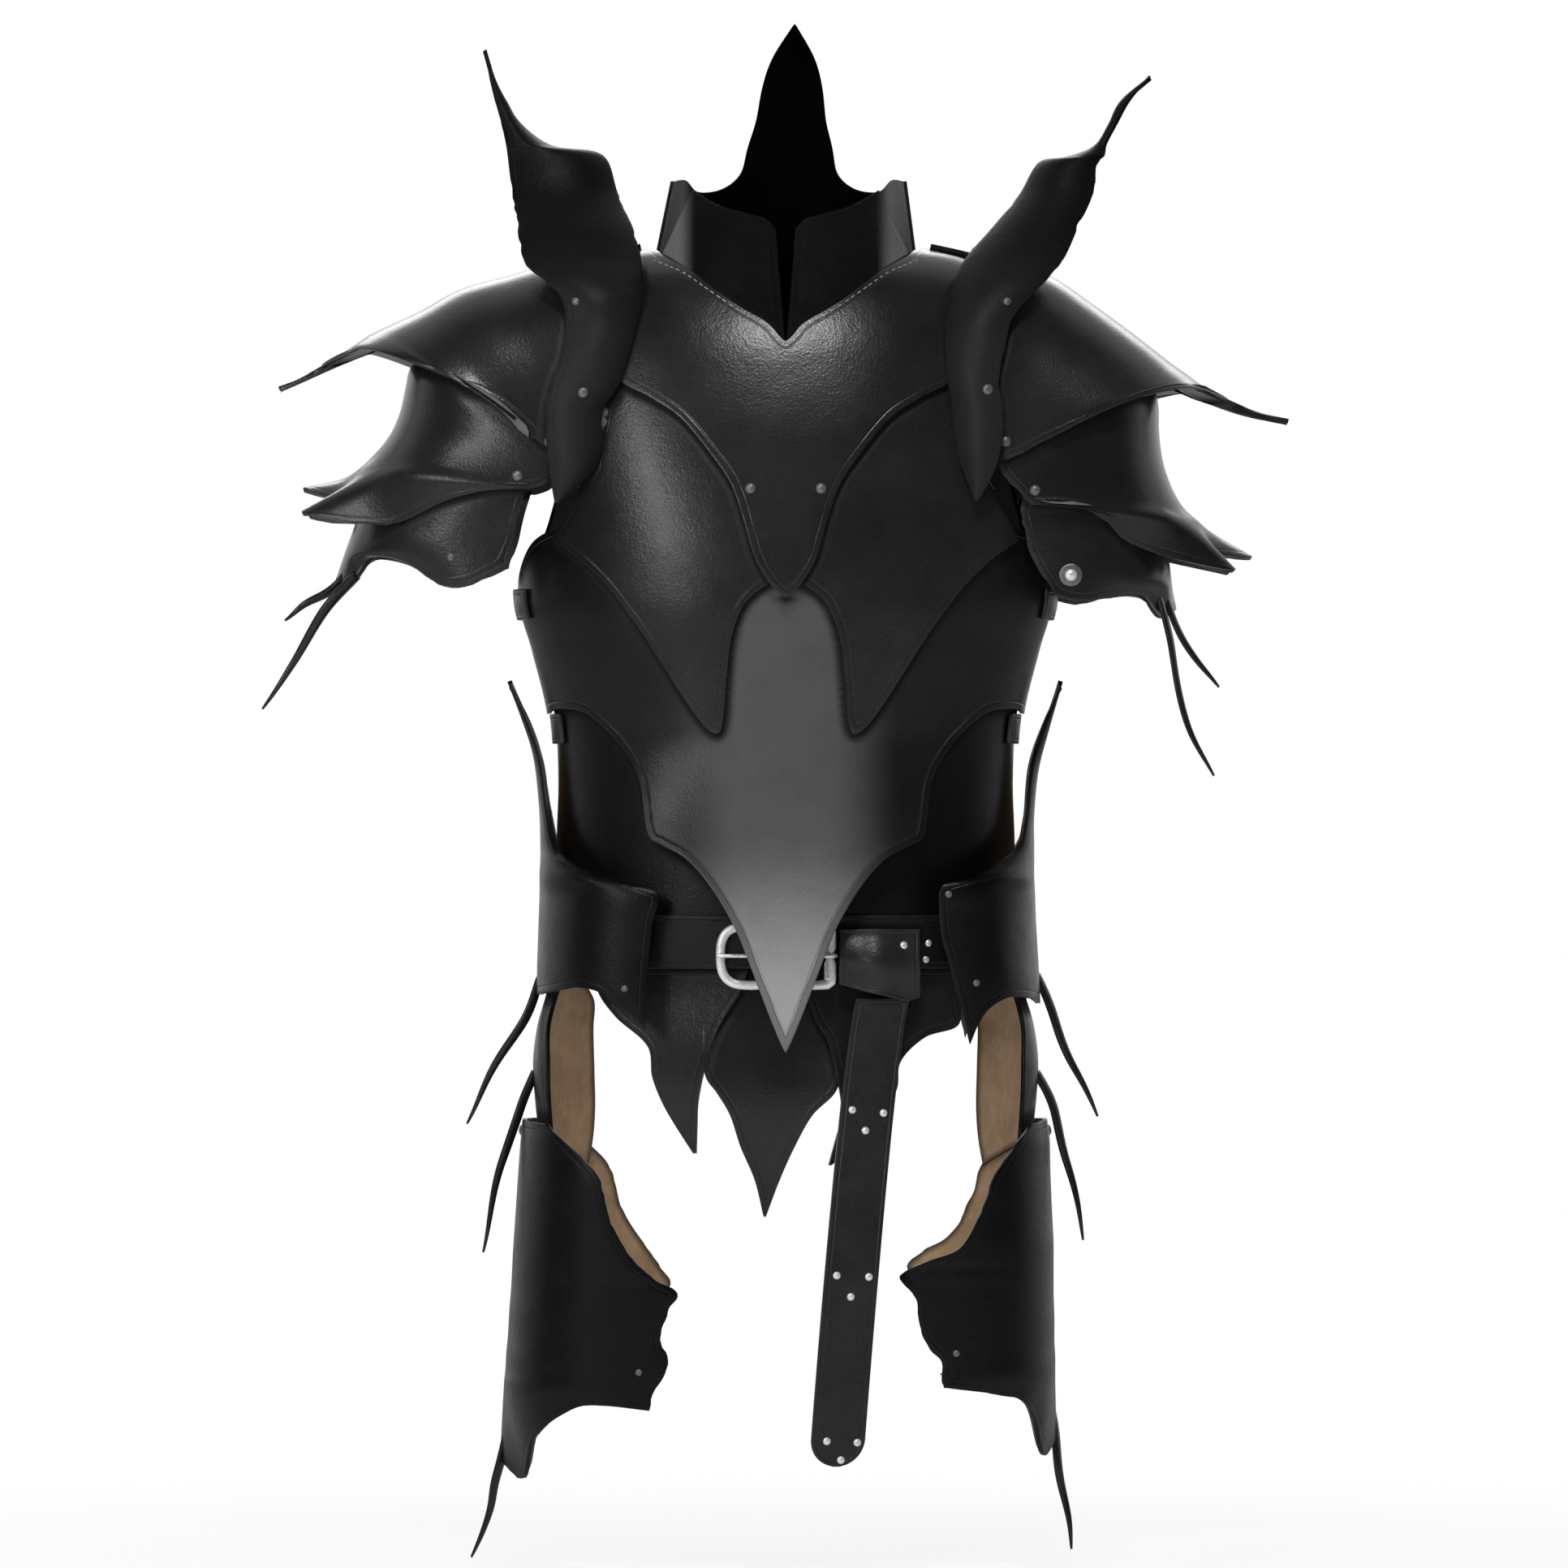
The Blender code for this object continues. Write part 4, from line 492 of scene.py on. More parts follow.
def leatherPiece(name, grid, body, node, outer="plateLeather", inner="blackSuede", thickness=drawing["leather"],
                 centre=(0, 0, 0), outward=False, slot="armour_leather", torn=0.0):
    # One cut piece of hide: its good face lies on the grid, away from the centre
    across, along = grid.shape[:2]
    bm = bmesh.new()
    bmesh.ops.create_grid(bm, x_segments=across - 1, y_segments=along - 1, size=1)
    for vert in bm.verts:
        i = round((vert.co.x + 1) / 2 * (across - 1))
        j = round((vert.co.y + 1) / 2 * (along - 1))
        vert.co = grid[i, j]
    bmesh.ops.remove_doubles(bm, verts=bm.verts, dist=2 * drawing["merge"])
    bm.normal_update()
    middle = Vector(centre)
    facing = sum(face.normal.dot(face.calc_center_median() - middle) * face.calc_area() for face in bm.faces)
    if facing < 0:
        bmesh.ops.reverse_faces(bm, faces=bm.faces)
    tree = nearestTree([vert.co for vert in bm.verts if vert.is_boundary])
    measureRim(bm, lambda vert: tree.find(vert.co)[2])
    if torn:
        tearRim(bm, tree, torn)
    piece = addPiece(name, meshFrom(bm, name, outer, inner, outer), body, [node])
    wall = piece.modifiers.new("wall", "SOLIDIFY")
    wall.thickness = thickness
    wall.offset = 1.0 if outward else -1.0
    wall.material_offset = 0 if outward else 1
    wall.material_offset_rim = 2
    edge = piece.modifiers.new("roundedRim", "BEVEL")
    edge.width = roundedRims["width"]
    edge.segments = roundedRims["segments"]
    edge.limit_method = "ANGLE"
    edge.angle_limit = math.radians(roundedRims["angle"])
    return piece


def markSeams(lower, *uppers):
    # How far each spot of a plate is from the rim of the plates that lie over it; the leather finish paints shade
    # within that reach
    rims = []
    for upper in uppers:
        bm = bmesh.new()
        bm.from_mesh(upper.data)
        rims += [vert.co.copy() for vert in bm.verts if vert.is_boundary]
        bm.free()
    tree = nearestTree(rims)
    for vert, entry in zip(lower.data.vertices, lower.data.attributes["seamDistance"].data):
        gap = vert.co - tree.find(vert.co)[0]
        entry.value = min(entry.value, (gap - vert.normal * gap.dot(vert.normal)).length)


# The body form that the torso plates are bent to
bodyForm = {
    "halfWidth": 0.192, "frontDepth": 0.115, "backDepth": 0.105, "roundness": 2.3,
    # height, half width, front depth and back depth
    "levels": shares([
        (15, 440, 240, 340), (0, 630, 390, 490), (-25, 740, 550, 630), (-65, 820, 680, 770),
        (-130, 900, 810, 890), (-230, 955, 940, 970), (-330, 985, 1000, 1000), (-420, 1000, 1000, 960),
        (-480, 950, 980, 910), (-560, 890, 950, 870), (-640, 875, 930, 850), (-720, 882, 930, 860),
        (-835, 880, 950, 890), (-960, 880, 960, 900),
    ]),
    "tipFlare": 0.060, "flareEase": 0.35, "flareFrom": -0.580, "flareTo": -0.970,
}


def levelValue(height, column):
    table = bodyForm["levels"]
    key = height / span
    if key >= table[0][0]:
        return table[0][column]
    if key <= table[-1][0]:
        return table[-1][column]
    index = next(i for i in range(len(table) - 1) if key >= table[i + 1][0])
    rows = [table[max(index - 1, 0)], table[index], table[index + 1], table[min(index + 2, len(table) - 1)]]
    gap = rows[1][0] - rows[2][0]
    t = (rows[1][0] - key) / gap
    startSlope = (rows[2][column] - rows[0][column]) / (rows[0][0] - rows[2][0] or gap) * gap
    endSlope = (rows[3][column] - rows[1][column]) / (rows[1][0] - rows[3][0] or gap) * gap
    return easedCurve(rows[1][column], startSlope, rows[2][column], endSlope, t)


def bodyPoint(turn, height, lift):
    # A point on the body form, lifted outward: turn 0 is the front, 1 the side, 2 the back
    halfWidth = levelValue(height, 1) * bodyForm["halfWidth"] + lift
    if turn <= 1:
        angle = turn * math.pi / 2
        depth = -levelValue(height, 2) * bodyForm["frontDepth"] - lift
    else:
        angle = (2 - turn) * math.pi / 2
        depth = levelValue(height, 3) * bodyForm["backDepth"] + lift
    power = 2 / bodyForm["roundness"]
    return (
        halfWidth * max(math.sin(angle), 0) ** power, depth * max(math.cos(angle), 0) ** power, height
    )


def bodyGrid(ribs, liftAt, rows, spacing=0.012, crowding=1.0, flare=False):
    grid = []
    for firstTurn, firstUp, secondTurn, secondUp in runThrough(ribs, spacing):
        rib = []
        for row in range(rows + 1):
            part = (row / rows) ** crowding
            turn = min(max(firstTurn + (secondTurn - firstTurn) * part, 0), 2)
            height = (firstUp + (secondUp - firstUp) * part) * span
            x, y, z = bodyPoint(turn, height, liftAt(height))
            if flare:
                start, end = (bodyForm[key] * span for key in ("flareFrom", "flareTo"))
                part = max((start - height) / (start - end), 0)
                ease = bodyForm["flareEase"]
                y -= bodyForm["tipFlare"] * part * part * (1 + ease) / (part + ease)
            rib.append((x, y, z))
        grid.append(rib)
    return np.array(grid)


def layer(number):
    return lambda height: number * drawing["pitch"]


def backLift(height):
    # The upper back lies as high as the chest at the shoulder and sinks below
    low = bodyForm["levels"][6][0] * span
    part = min(max(height / low, 0), 1)
    return (3 - 2 * part) * drawing["pitch"]


# Torso plates: each rib runs from one point to another, as turn and height twice
torsoPlates = shares({
    "chest": [
        (0, -107, 0, -420), (10, -99, 21, -404), (25, -87, 50, -370), (46, -78, 68, -332), (84, -67, 94, -286),
        (186, -37, 150, -240), (284, -15, 215, -202), (466, 4, 300, -176), (754, 12, 397, -155),
        (995, 6, 484, -120), (995, -8, 592, -80),
    ],
    "breast": [
        (0, -290, 0, -397), (28, -270, 28, -404), (50, -235, 72, -428), (74, -222, 102, -469),
        (95, -215, 119, -520), (129, -205, 136, -578), (191, -195, 164, -582), (260, -170, 216, -552),
        (336, -150, 284, -496), (406, -135, 343, -446), (443, -150, 404, -408), (454, -200, 506, -372),
        (472, -260, 626, -348),
    ],
    "abdomen": [
        (0, -370, 0, -970), (57, -380, 33, -920), (91, -390, 75, -860), (122, -400, 108, -820),
        (165, -400, 171, -770), (210, -395, 239, -737), (260, -385, 315, -720), (310, -370, 356, -709),
        (386, -350, 388, -645), (484, -335, 435, -610), (572, -330, 497, -585), (661, -335, 600, -560),
        (790, -350, 760, -554), (880, -372, 880, -557), (985, -404, 985, -560),
    ],
    "waist": [
        (0, -640, 0, -850), (150, -640, 150, -850), (300, -620, 300, -850), (400, -580, 400, -850),
        (500, -540, 500, -850), (620, -510, 620, -850), (750, -500, 750, -850), (870, -500, 870, -850),
        (985, -500, 985, -850),
    ],
    "upperBack": [
        (2000, 14, 1250, 14), (2000, 8, 1080, 11), (2000, -10, 1005, 5), (2000, -35, 1005, -12),
        (2000, -65, 1220, -48), (2000, -110, 1360, -95), (2000, -175, 1410, -155), (2000, -245, 1370, -215),
        (2000, -310, 1350, -265), (2000, -370, 1310, -310), (2000, -420, 1230, -358), (2000, -470, 1040, -395),
        (2000, -510, 1020, -460),
    ],
    "lowerBack": [
        (2000, -345, 1020, -370), (2000, -400, 1020, -410), (2000, -450, 1020, -450), (2000, -500, 1020, -490),
        (2000, -540, 1020, -530), (2000, -580, 1020, -570), (2000, -620, 1020, -610), (2000, -670, 1020, -660),
        (2000, -730, 1020, -730), (2000, -790, 1020, -790), (2000, -850, 1020, -850),
    ],
})


def torsoPlate(name, node, liftAt, middle, rows, mirrored=0, outer="plateLeather", **bend):
    grid = bothHalves(bodyGrid(torsoPlates[name], liftAt, rows, **bend), mirrored)
    label = name if mirrored else name + "Plate"
    return leatherPiece(label + "Leather", grid, "cuirass", node, outer=outer, centre=(0, 0, middle))


torsoPieces = {
    "chest": torsoPlate("chest", "chest_plate", layer(3), middle=-0.06, rows=52, crowding=1.25),
    "breast": torsoPlate("breast", "breast_plate", layer(2), middle=-0.17, rows=60),
    "abdomen": torsoPlate(
        "abdomen", "abdomen_plate", layer(1), middle=-0.3, rows=84, outer="tooledLeather", flare=True
    ),
    "waist": torsoPlate("waist", "waist_plate", layer(0), middle=-0.4, rows=52, outer="guardLeather"),
    "upperBack": torsoPlate(
        "upperBack", "upper_back_plate", backLift, middle=-0.1, rows=72, mirrored=1, spacing=0.010
    ),
    "lowerBack": torsoPlate(
        "lowerBack", "lower_back_plate", layer(0), middle=-0.35, rows=72, mirrored=1, spacing=0.008
    ),
}
for lower, *uppers in (("breast", "chest"), ("abdomen", "chest", "breast"), ("waist", "abdomen"),
                       ("lowerBack", "upperBack")):
    markSeams(torsoPieces[lower], *(torsoPieces[upper] for upper in uppers))
print("torso plates cut")


# Collar and nape guard
collarCut = {
    # across, up and forward at the top, one for each of the chest's first ribs
    "top": shares([
        (12, 33, 118), (18, 40, 117), (25, 46, 116), (36, 49, 113), (50, 53, 108), (72, 59, 96), (91, 68, 80),
        (115, 84, 48),
    ]),
    "gap": 0.0008, "slitLift": 1.2, "seamLift": 0.2, "rows": 26, "spacing": 0.0030,
    "stitchLength": 0.0042, "stitchStep": 0.0060, "stitchRadius": 0.00055, "stitchDrop": 0.0034,
    "stitchRise": 0.0002, "stitchStart": 0.004,
}
napeCut = {
    # turn of the foot, then across, up and backward at the top
    "ribs": shares([
        (1250, 146, 98, 25), (1330, 131, 101, 45), (1420, 117, 88, 62), (1530, 100, 87, 74), (1640, 84, 91, 82),
        (1740, 72, 98, 86), (1820, 60, 112, 90), (1880, 53, 140, 92), (1920, 44, 172, 92), (1950, 37, 215, 92),
        (1975, 26, 252, 90), (2000, 0, 296, 86),
    ]),
    "lean": 0.0065, "leanHeight": 0.17, "footDrop": 0.0022, "rows": 40, "spacing": 0.0034,
}


def collarHalf(side, sign):
    ribs = []
    for index, (across, up, forward) in enumerate(collarCut["top"]):
        turn, footShare = torsoPlates["chest"][index][:2]
        lift = collarCut["slitLift"] if index < 2 else collarCut["seamLift"]
        foot = np.array(bodyPoint(turn, footShare * span + collarCut["gap"] * lift, 3 * drawing["pitch"]))
        foot[0] = max(foot[0], collarCut["gap"] / 2)
        crown = np.array([across, -forward, up]) * span
        rib = [foot + (crown - foot) * row / collarCut["rows"] for row in range(collarCut["rows"] + 1)]
        ribs.append([point * (sign, 1, 1) for point in rib])
    grid = runThrough(ribs, collarCut["spacing"])
    nearest = sign * collarCut["gap"] / 2
    grid[:, :, 0] = np.where(sign * grid[:, :, 0] < collarCut["gap"] / 2, nearest, grid[:, :, 0])
    return leatherPiece(side + "CollarLeather", grid, "cuirass", "collar_" + side, outer="collarLeather")


def collarStitches(side, sign):
    # Waxed thread along the seam where the collar meets the chest
    feet = np.array(torsoPlates["chest"])[:len(collarCut["top"]), :2]
    lift = 3 * drawing["pitch"] + collarCut["stitchRise"]
    points = [
        Vector(bodyPoint(turn, up * span - collarCut["stitchDrop"], lift))
        for turn, up in runThrough(feet, collarCut["stitchStart"])
    ]
    bm = bmesh.new()
    travelled, due = 0.0, collarCut["stitchStart"]
    radius = collarCut["stitchRadius"]
    slim = Matrix.Diagonal((collarCut["stitchLength"] / 2, radius, radius, 1))
    for start, end in zip(points, points[1:]):
        travelled += (end - start).length
        if travelled >= due:
            due += collarCut["stitchStep"]
            made = bmesh.ops.create_icosphere(bm, subdivisions=2, radius=1)["verts"]
            place = Vector((end.x * sign, end.y, end.z))
            aim = Vector(((end - start).x * sign, (end - start).y, (end - start).z))
            turn = aim.to_track_quat("X", "Z").to_matrix().to_4x4()
            bmesh.ops.transform(bm, verts=made, matrix=Matrix.Translation(place) @ turn @ slim)
    name = side + "CollarStitches"
    addPiece(name, meshFrom(bm, name, "waxedThread"), "cuirass")


def nape():
    height = torsoPlates["upperBack"][0][1] * span
    ribs = []
    for turn, across, up, backward in napeCut["ribs"]:
        foot = np.array(bodyPoint(turn, height, backLift(height))) - (0, 0, napeCut["footDrop"])
        crown = np.array([across, backward, up]) * span
        ribs.append([foot + (crown - foot) * row / napeCut["rows"] for row in range(napeCut["rows"] + 1)])
    half = runThrough(ribs, napeCut["spacing"])
    half[-1, :, 0] = 0
    grid = bothHalves(half[::-1], 0)
    grid[:, :, 0] += napeCut["lean"] * np.clip(grid[:, :, 2], 0, None) / napeCut["leanHeight"]
    leatherPiece("napeGuardLeather", grid, "cuirass", "nape_guard")


for side, sign in sides.items():
    collarHalf(side, sign)
    collarStitches(side, sign)
nape()
print("collar and nape guard raised")


# Shoulder guards
arches = {"roundness": 2.6, "columns": 34, "samples": 1500, "slope": 0.6, "crowding": 1.3}
fins = {"columns": 21, "spacing": 0.0032, "camber": 0.010, "foldBack": 0.022, "fullWidth": 0.06}
strands = {
    "spacing": 0.008, "root": 0.0085, "tip": 0.0018, "taper": 0.8, "flatness": 0.52, "facets": 10,
    "twistStart": 0.5, "twist": 1.1, "waves": ((0.0012, 9), (0.0010, 13)), "rim": 0.0120,
}
shoulderCut = shares({
    # arches: root out and up, crest out and up, depth
    "upper": {
        "left": [
            (233, -200, 230, 15, 172), (252, -220, 263, 4, 172), (268, -242, 340, -20, 172),
            (284, -242, 400, -37, 172), (300, -230, 454, -66, 172), (318, -212, 493, -84, 172),
            (356, -178, 513, -94, 164), (400, -155, 528, -104, 150), (440, -116, 543, -114, 90),
            (478, -105, 563, -126, 45), (528, -122, 583, -137, 14), (583, -146, 603, -148, 8),
            (623, -164, 627, -157, 4),
        ],
        "right": [
            (233, -200, 230, 15, 172), (248, -225, 272, 2, 172), (264, -250, 332, -24, 172),
            (284, -245, 372, -51, 172), (307, -232, 428, -92, 172), (332, -220, 473, -127, 171),
            (367, -202, 494, -142, 164), (404, -180, 510, -154, 150), (432, -164, 520, -161, 118),
            (464, -156, 534, -167, 64), (507, -173, 559, -178, 16), (562, -192, 583, -188, 8),
            (617, -204, 620, -196, 4),
        ],
    },
    "middle": {
        "left": [
            (278, -215, 378, -66, 160), (274, -228, 413, -84, 160), (272, -246, 440, -114, 160),
            (276, -258, 462, -134, 160), (280, -266, 468, -158, 160), (284, -272, 475, -189, 160),
            (290, -277, 487, -216, 160), (296, -281, 508, -242, 160), (304, -284, 536, -266, 160),
        ],
        "right": [
            (264, -210, 354, -60, 160), (260, -228, 394, -90, 160), (256, -248, 430, -128, 160),
            (262, -264, 453, -156, 160), (270, -276, 459, -180, 160), (278, -284, 460, -215, 160),
            (284, -290, 467, -258, 160), (290, -298, 487, -302, 160), (296, -302, 516, -330, 160),
        ],
    },
    "lower": {
        "left": [
            (313, -254, 455, -196, 147), (314, -272, 474, -231, 147), (318, -289, 492, -256, 147),
            (323, -305, 516, -290, 147), (328, -325, 532, -332, 145), (332, -344, 545, -368, 143),
        ],
        "right": [
            (294, -272, 412, -200, 147), (288, -292, 440, -240, 147), (286, -314, 450, -276, 147),
            (290, -335, 464, -320, 147), (296, -360, 472, -370, 145), (310, -388, 476, -402, 143),
        ],
    },
    # lower rims, from the front root to the crest
    "middleRim": {
        "left": [(311, -286), (366, -289), (423, -304), (488, -330), (592, -314), (556, -300), (595, -281)],
        "right": [(298, -306), (350, -306), (388, -325), (434, -360), (549, -384), (524, -366), (576, -366)],
    },
    "lowerRim": {
        "left": [(344, -378), (394, -400), (428, -400), (463, -376), (506, -369), (540, -402), (563, -418)],
        "right": [(329, -416), (364, -424), (392, -418), (422, -414), (444, -420), (464, -442), (482, -432)],
    },
    # fins: up, outer edge, inner edge, forward
    "fin": {
        "left": [
            (258, 368, 371, 10), (220, 356, 364, 16), (195, 343, 358, 20), (170, 328, 351, 26),
            (141, 290, 344, 34), (128, 225, 342, 38), (80, 206, 336, 60), (30, 185, 328, 102),
            (-6, 176, 322, 131), (-32, 175, 294, 152), (-54, 175, 274, 163), (-80, 179, 268, 168),
            (-120, 190, 272, 178), (-162, 204, 286, 184), (-190, 222, 291, 185), (-230, 222, 292, 186),
            (-256, 230, 288, 186), (-282, 250, 285, 186), (-305, 277, 281, 185),
        ],
        "right": [
            (225, 447, 450, 10), (194, 411, 424, 16), (165, 396, 408, 20), (140, 380, 395, 26),
            (126, 345, 392, 34), (120, 312, 386, 38), (80, 288, 378, 60), (35, 252, 358, 92),
            (-4, 219, 340, 122), (-32, 206, 318, 144), (-54, 200, 296, 157), (-80, 196, 276, 168),
            (-120, 195, 266, 178), (-162, 198, 260, 184), (-190, 202, 264, 185), (-230, 205, 264, 186),
            (-256, 212, 258, 186), (-282, 222, 246, 186), (-301, 230, 234, 185),
        ],
    },
    # strands: out, up, forward
    "strands": {
        "left": [
            [(530, -380, 40), (563, -410, 30), (590, -425, 24), (618, -445, 20)],
            [(525, -390, 60), (566, -430, 50), (602, -496, 44), (645, -554, 40)],
        ],
        "right": [
            [(455, -390, 50), (480, -448, 40), (502, -492, 34), (534, -527, 30)],
            [(448, -395, 70), (473, -470, 60), (494, -580, 54), (527, -636, 50)],
        ],
    },
})


def placed(sign, out, up, back):
    return np.stack([sign * out, back, up], -1) * span


def evenTurns():
    # Turns from front root to rear root that space the columns evenly round an arch
    power = 2 / arches["roundness"]
    dense = np.linspace(0, math.pi / 2, arches["samples"])
    across = np.sin(dense) ** power
    rise = np.clip(np.cos(dense), 0, None) ** power * arches["slope"]
    travelled = np.concatenate([[0], np.cumsum(np.hypot(np.diff(across), np.diff(rise)))])
    half = np.interp(np.linspace(0, travelled[-1], arches["columns"] + 1), travelled, dense)
    return np.concatenate([-half[:0:-1], half])


def archGrid(sign, table, rim=None):
    power = 2 / arches["roundness"]
    turns = evenTurns()
    rise = np.clip(np.cos(turns), 0, None) ** power
    reach = np.sign(turns) * np.abs(np.sin(turns)) ** power
    ribs = []
    for rootOut, rootUp, crestOut, crestUp, depth in table:
        out = rootOut + (crestOut - rootOut) * rise
        up = rootUp + (crestUp - rootUp) * rise
        ribs.append(placed(sign, out, up, reach * depth))
    if rim:
        last = len(rim) - 1
        spots = np.array([alongTable(rim, last - abs(turn) / (math.pi / 2) * last) for turn in turns])
        ribs.append(placed(sign, spots[:, 0], spots[:, 1], reach * depth))
    return runThrough(ribs, drawing["grid"])


def strandGroup(name, sign, runs, body):
    # Thin strips of hide, twisted a little and drawn out to a point
    (swayAcross, beatAcross), (swayBack, beatBack) = strands["waves"]
    bm = bmesh.new()
    for run in runs:
        route = [(sign * out, -forward, up) for out, up, forward in run]
        spots = runThrough(route, strands["spacing"]) * span
        total = len(spots) - 1
        ring = None
        for index, spot in enumerate(spots):
            part = index / total
            ahead = Vector(spots[min(index + 1, total)]) - Vector(spots[max(index - 1, 0)])
            turn = ahead.to_track_quat("Z", "Y").to_matrix().to_4x4()
            wide = (strands["root"] * (1 - part) ** strands["taper"] + strands["tip"]) / 2
            swing = Matrix.Rotation(strands["twistStart"] + strands["twist"] * part, 4, "Z")
            sway = (swayAcross * math.sin(beatAcross * part + sign), swayBack * math.sin(beatBack * part), 0)
            made = bmesh.ops.create_circle(bm, cap_ends=False, segments=strands["facets"], radius=1)["verts"]
            shaped = swing @ Matrix.Diagonal((wide, wide * strands["flatness"], 1, 1))
            moved = Matrix.Translation(Vector(spot) + Vector(sway)) @ turn
            bmesh.ops.transform(bm, verts=made, matrix=moved @ shaped)
            edges = list({edge for vert in made for edge in vert.link_edges if all(v in made for v in edge.verts)})
            if ring:
                bmesh.ops.bridge_loops(bm, edges=ring + edges)
            else:
                bmesh.ops.contextual_create(bm, geom=made)
            ring = edges
        bmesh.ops.contextual_create(bm, geom=list({vert for edge in ring for vert in edge.verts}))
    bmesh.ops.remove_doubles(bm, verts=bm.verts, dist=drawing["merge"])
    bmesh.ops.recalc_face_normals(bm, faces=bm.faces)
    measureRim(bm, lambda vert: strands["rim"])
    return addPiece(name, meshFrom(bm, name, "plateLeather"), body)


def finGrid(sign, table):
    ribs = []
    across = np.linspace(0, 1, fins["columns"])
    for up, outer, inner, forward in table:
        out = outer + (inner - outer) * across
        camber = fins["camber"] * (1 - (2 * across - 1) ** 2) - fins["foldBack"] * (1 - across) ** 4
        back = -forward - camber * min(1, abs(inner - outer) / fins["fullWidth"])
        ribs.append(placed(sign, out, np.full(fins["columns"], up), back))
    return runThrough(ribs, fins["spacing"])


# how deep the notches of the torn rims are
tears = {"lame": 0.0026, "fin": 0.0024, "hip": 0.0016, "plate": 0.0022}


def shoulderGuard(side, sign):
    pieces = {}
    for label, body in (("upper", "shoulder_"), ("middle", "middle_lame_"), ("lower", "lower_lame_")):
        table = shoulderCut[label][side]
        rim = shoulderCut[label + "Rim"][side] if label != "upper" else None
        root = (sign * table[0][0] * span, 0, table[0][1] * span)
        pieces[label] = leatherPiece(
            side + label.capitalize() + "LameLeather", archGrid(sign, table, rim), body + side,
            "pauldron_" + label + "_lame_" + side, centre=root, torn=tears["lame"]
        )
    pieces["fin"] = leatherPiece(
        side + "FinLeather", finGrid(sign, shoulderCut["fin"][side]), "shoulder_" + side, "shoulder_fin_" + side,
        centre=(0, 1, 0), outer="finLeather", torn=tears["fin"]
    )
    strandGroup(side + "ArmStrands", sign, shoulderCut["strands"][side], "lower_lame_" + side)
    markSeams(pieces["upper"], pieces["fin"])
    markSeams(pieces["middle"], pieces["upper"])
    markSeams(pieces["lower"], pieces["middle"])
    return pieces


shoulderPieces = {side: shoulderGuard(side, sign) for side, sign in sides.items()}
print("shoulder guards nested")


# Thigh guards
thighCut = shares({
    "centre": 190,
    # hip plate: root out and up, crest out and up, depth
    "hip": {
        "left": [
            (337, -526, 343, -520, 6), (315, -568, 327, -562, 24), (300, -612, 312, -608, 42),
            (289, -680, 304, -670, 70), (278, -724, 302, -720, 110), (252, -746, 302, -738, 150),
            (201, -763, 303, -756, 185), (156, -780, 303, -780, 200), (162, -815, 304, -810, 200),
            (167, -860, 305, -840, 200), (170, -900, 306, -870, 200),
        ],
        "right": [
            (337, -526, 342, -519, 6), (316, -573, 325, -578, 24), (301, -620, 312, -628, 42),
            (294, -685, 306, -688, 70), (285, -720, 306, -720, 110), (257, -742, 306, -742, 150),
            (227, -760, 306, -760, 185), (190, -770, 307, -780, 200), (187, -806, 308, -810, 200),
            (193, -848, 310, -845, 200), (204, -885, 312, -880, 200),
        ],
    },
    "hipRim": {
        "left": [(170, -944), (218, -904), (250, -894), (274, -897), (292, -901), (302, -904), (307, -905)],
        "right": [(224, -963), (242, -926), (267, -908), (287, -906), (301, -908), (309, -912), (314, -916)],
    },
    # lame and plates: crest out and up, depth, heights of the front and rear edges
    "lame": [
        (290, -878, 138, -892, -895), (295, -905, 142, -915, -915), (305, -940, 145, -945, -950),
        (311, -985, 146, -985, -1000), (309, -1030, 146, -1028, -1050), (306, -1060, 146, -1056, -1085),
        (304, -1085, 146, -1082, -1120),
    ],
    "plate": {
        "left": [
            (324, -1058, 162, -1062, -1062), (326, -1080, 163, -1082, -1085), (329, -1120, 164, -1122, -1120),
            (333, -1180, 165, -1182, -1180), (336, -1225, 166, -1228, -1225), (337, -1248, 166, -1250, -1248),
            (338, -1266, 166, -1268, -1266), (340, -1290, 166, -1290, -1290), (342, -1325, 166, -1325, -1325),
            (344, -1346, 166, -1346, -1346), (345, -1365, 166, -1365, -1365), (347, -1386, 166, -1386, -1386),
        ],
        "right": [
            (322, -1058, 162, -1062, -1062), (325, -1080, 163, -1082, -1085), (326, -1120, 164, -1122, -1120),
            (328, -1170, 165, -1172, -1170), (330, -1210, 166, -1212, -1210), (330, -1228, 166, -1228, -1228),
            (330, -1247, 166, -1247, -1247), (330, -1270, 166, -1270, -1270), (331, -1305, 166, -1305, -1305),
            (331, -1332, 166, -1332, -1332), (332, -1350, 166, -1350, -1350), (332, -1372, 166, -1372, -1372),
        ],
    },
    "plateRim": {
        "left": [(166, -1410), (221, -1404), (254, -1407), (291, -1428), (312, -1454), (324, -1499), (352, -1478)],
        "right": [(192, -1382), (225, -1386), (258, -1392), (290, -1400), (305, -1425), (318, -1470), (334, -1450)],
    },
    "hipStrand": {
        "left": [(300, -885, 20), (320, -930, 20), (355, -990, 20), (394, -1064, 20)],
        "right": [(306, -880, 20), (330, -930, 20), (352, -990, 20), (385, -1055, 20)],
    },
    "lameStrand": {
        "left": [(306, -1000, 24), (326, -1040, 24), (345, -1100, 24), (374, -1222, 24)],
        "right": [(306, -1000, 24), (330, -1045, 24), (346, -1110, 24), (367, -1207, 24)],
    },
    "plateStrand": {
        "left": [(340, -1440, 10), (358, -1500, 10), (362, -1540, 10), (389, -1598, 10)],
        "right": [(326, -1420, 10), (338, -1490, 10), (345, -1540, 10), (353, -1588, 10)],
    },
})
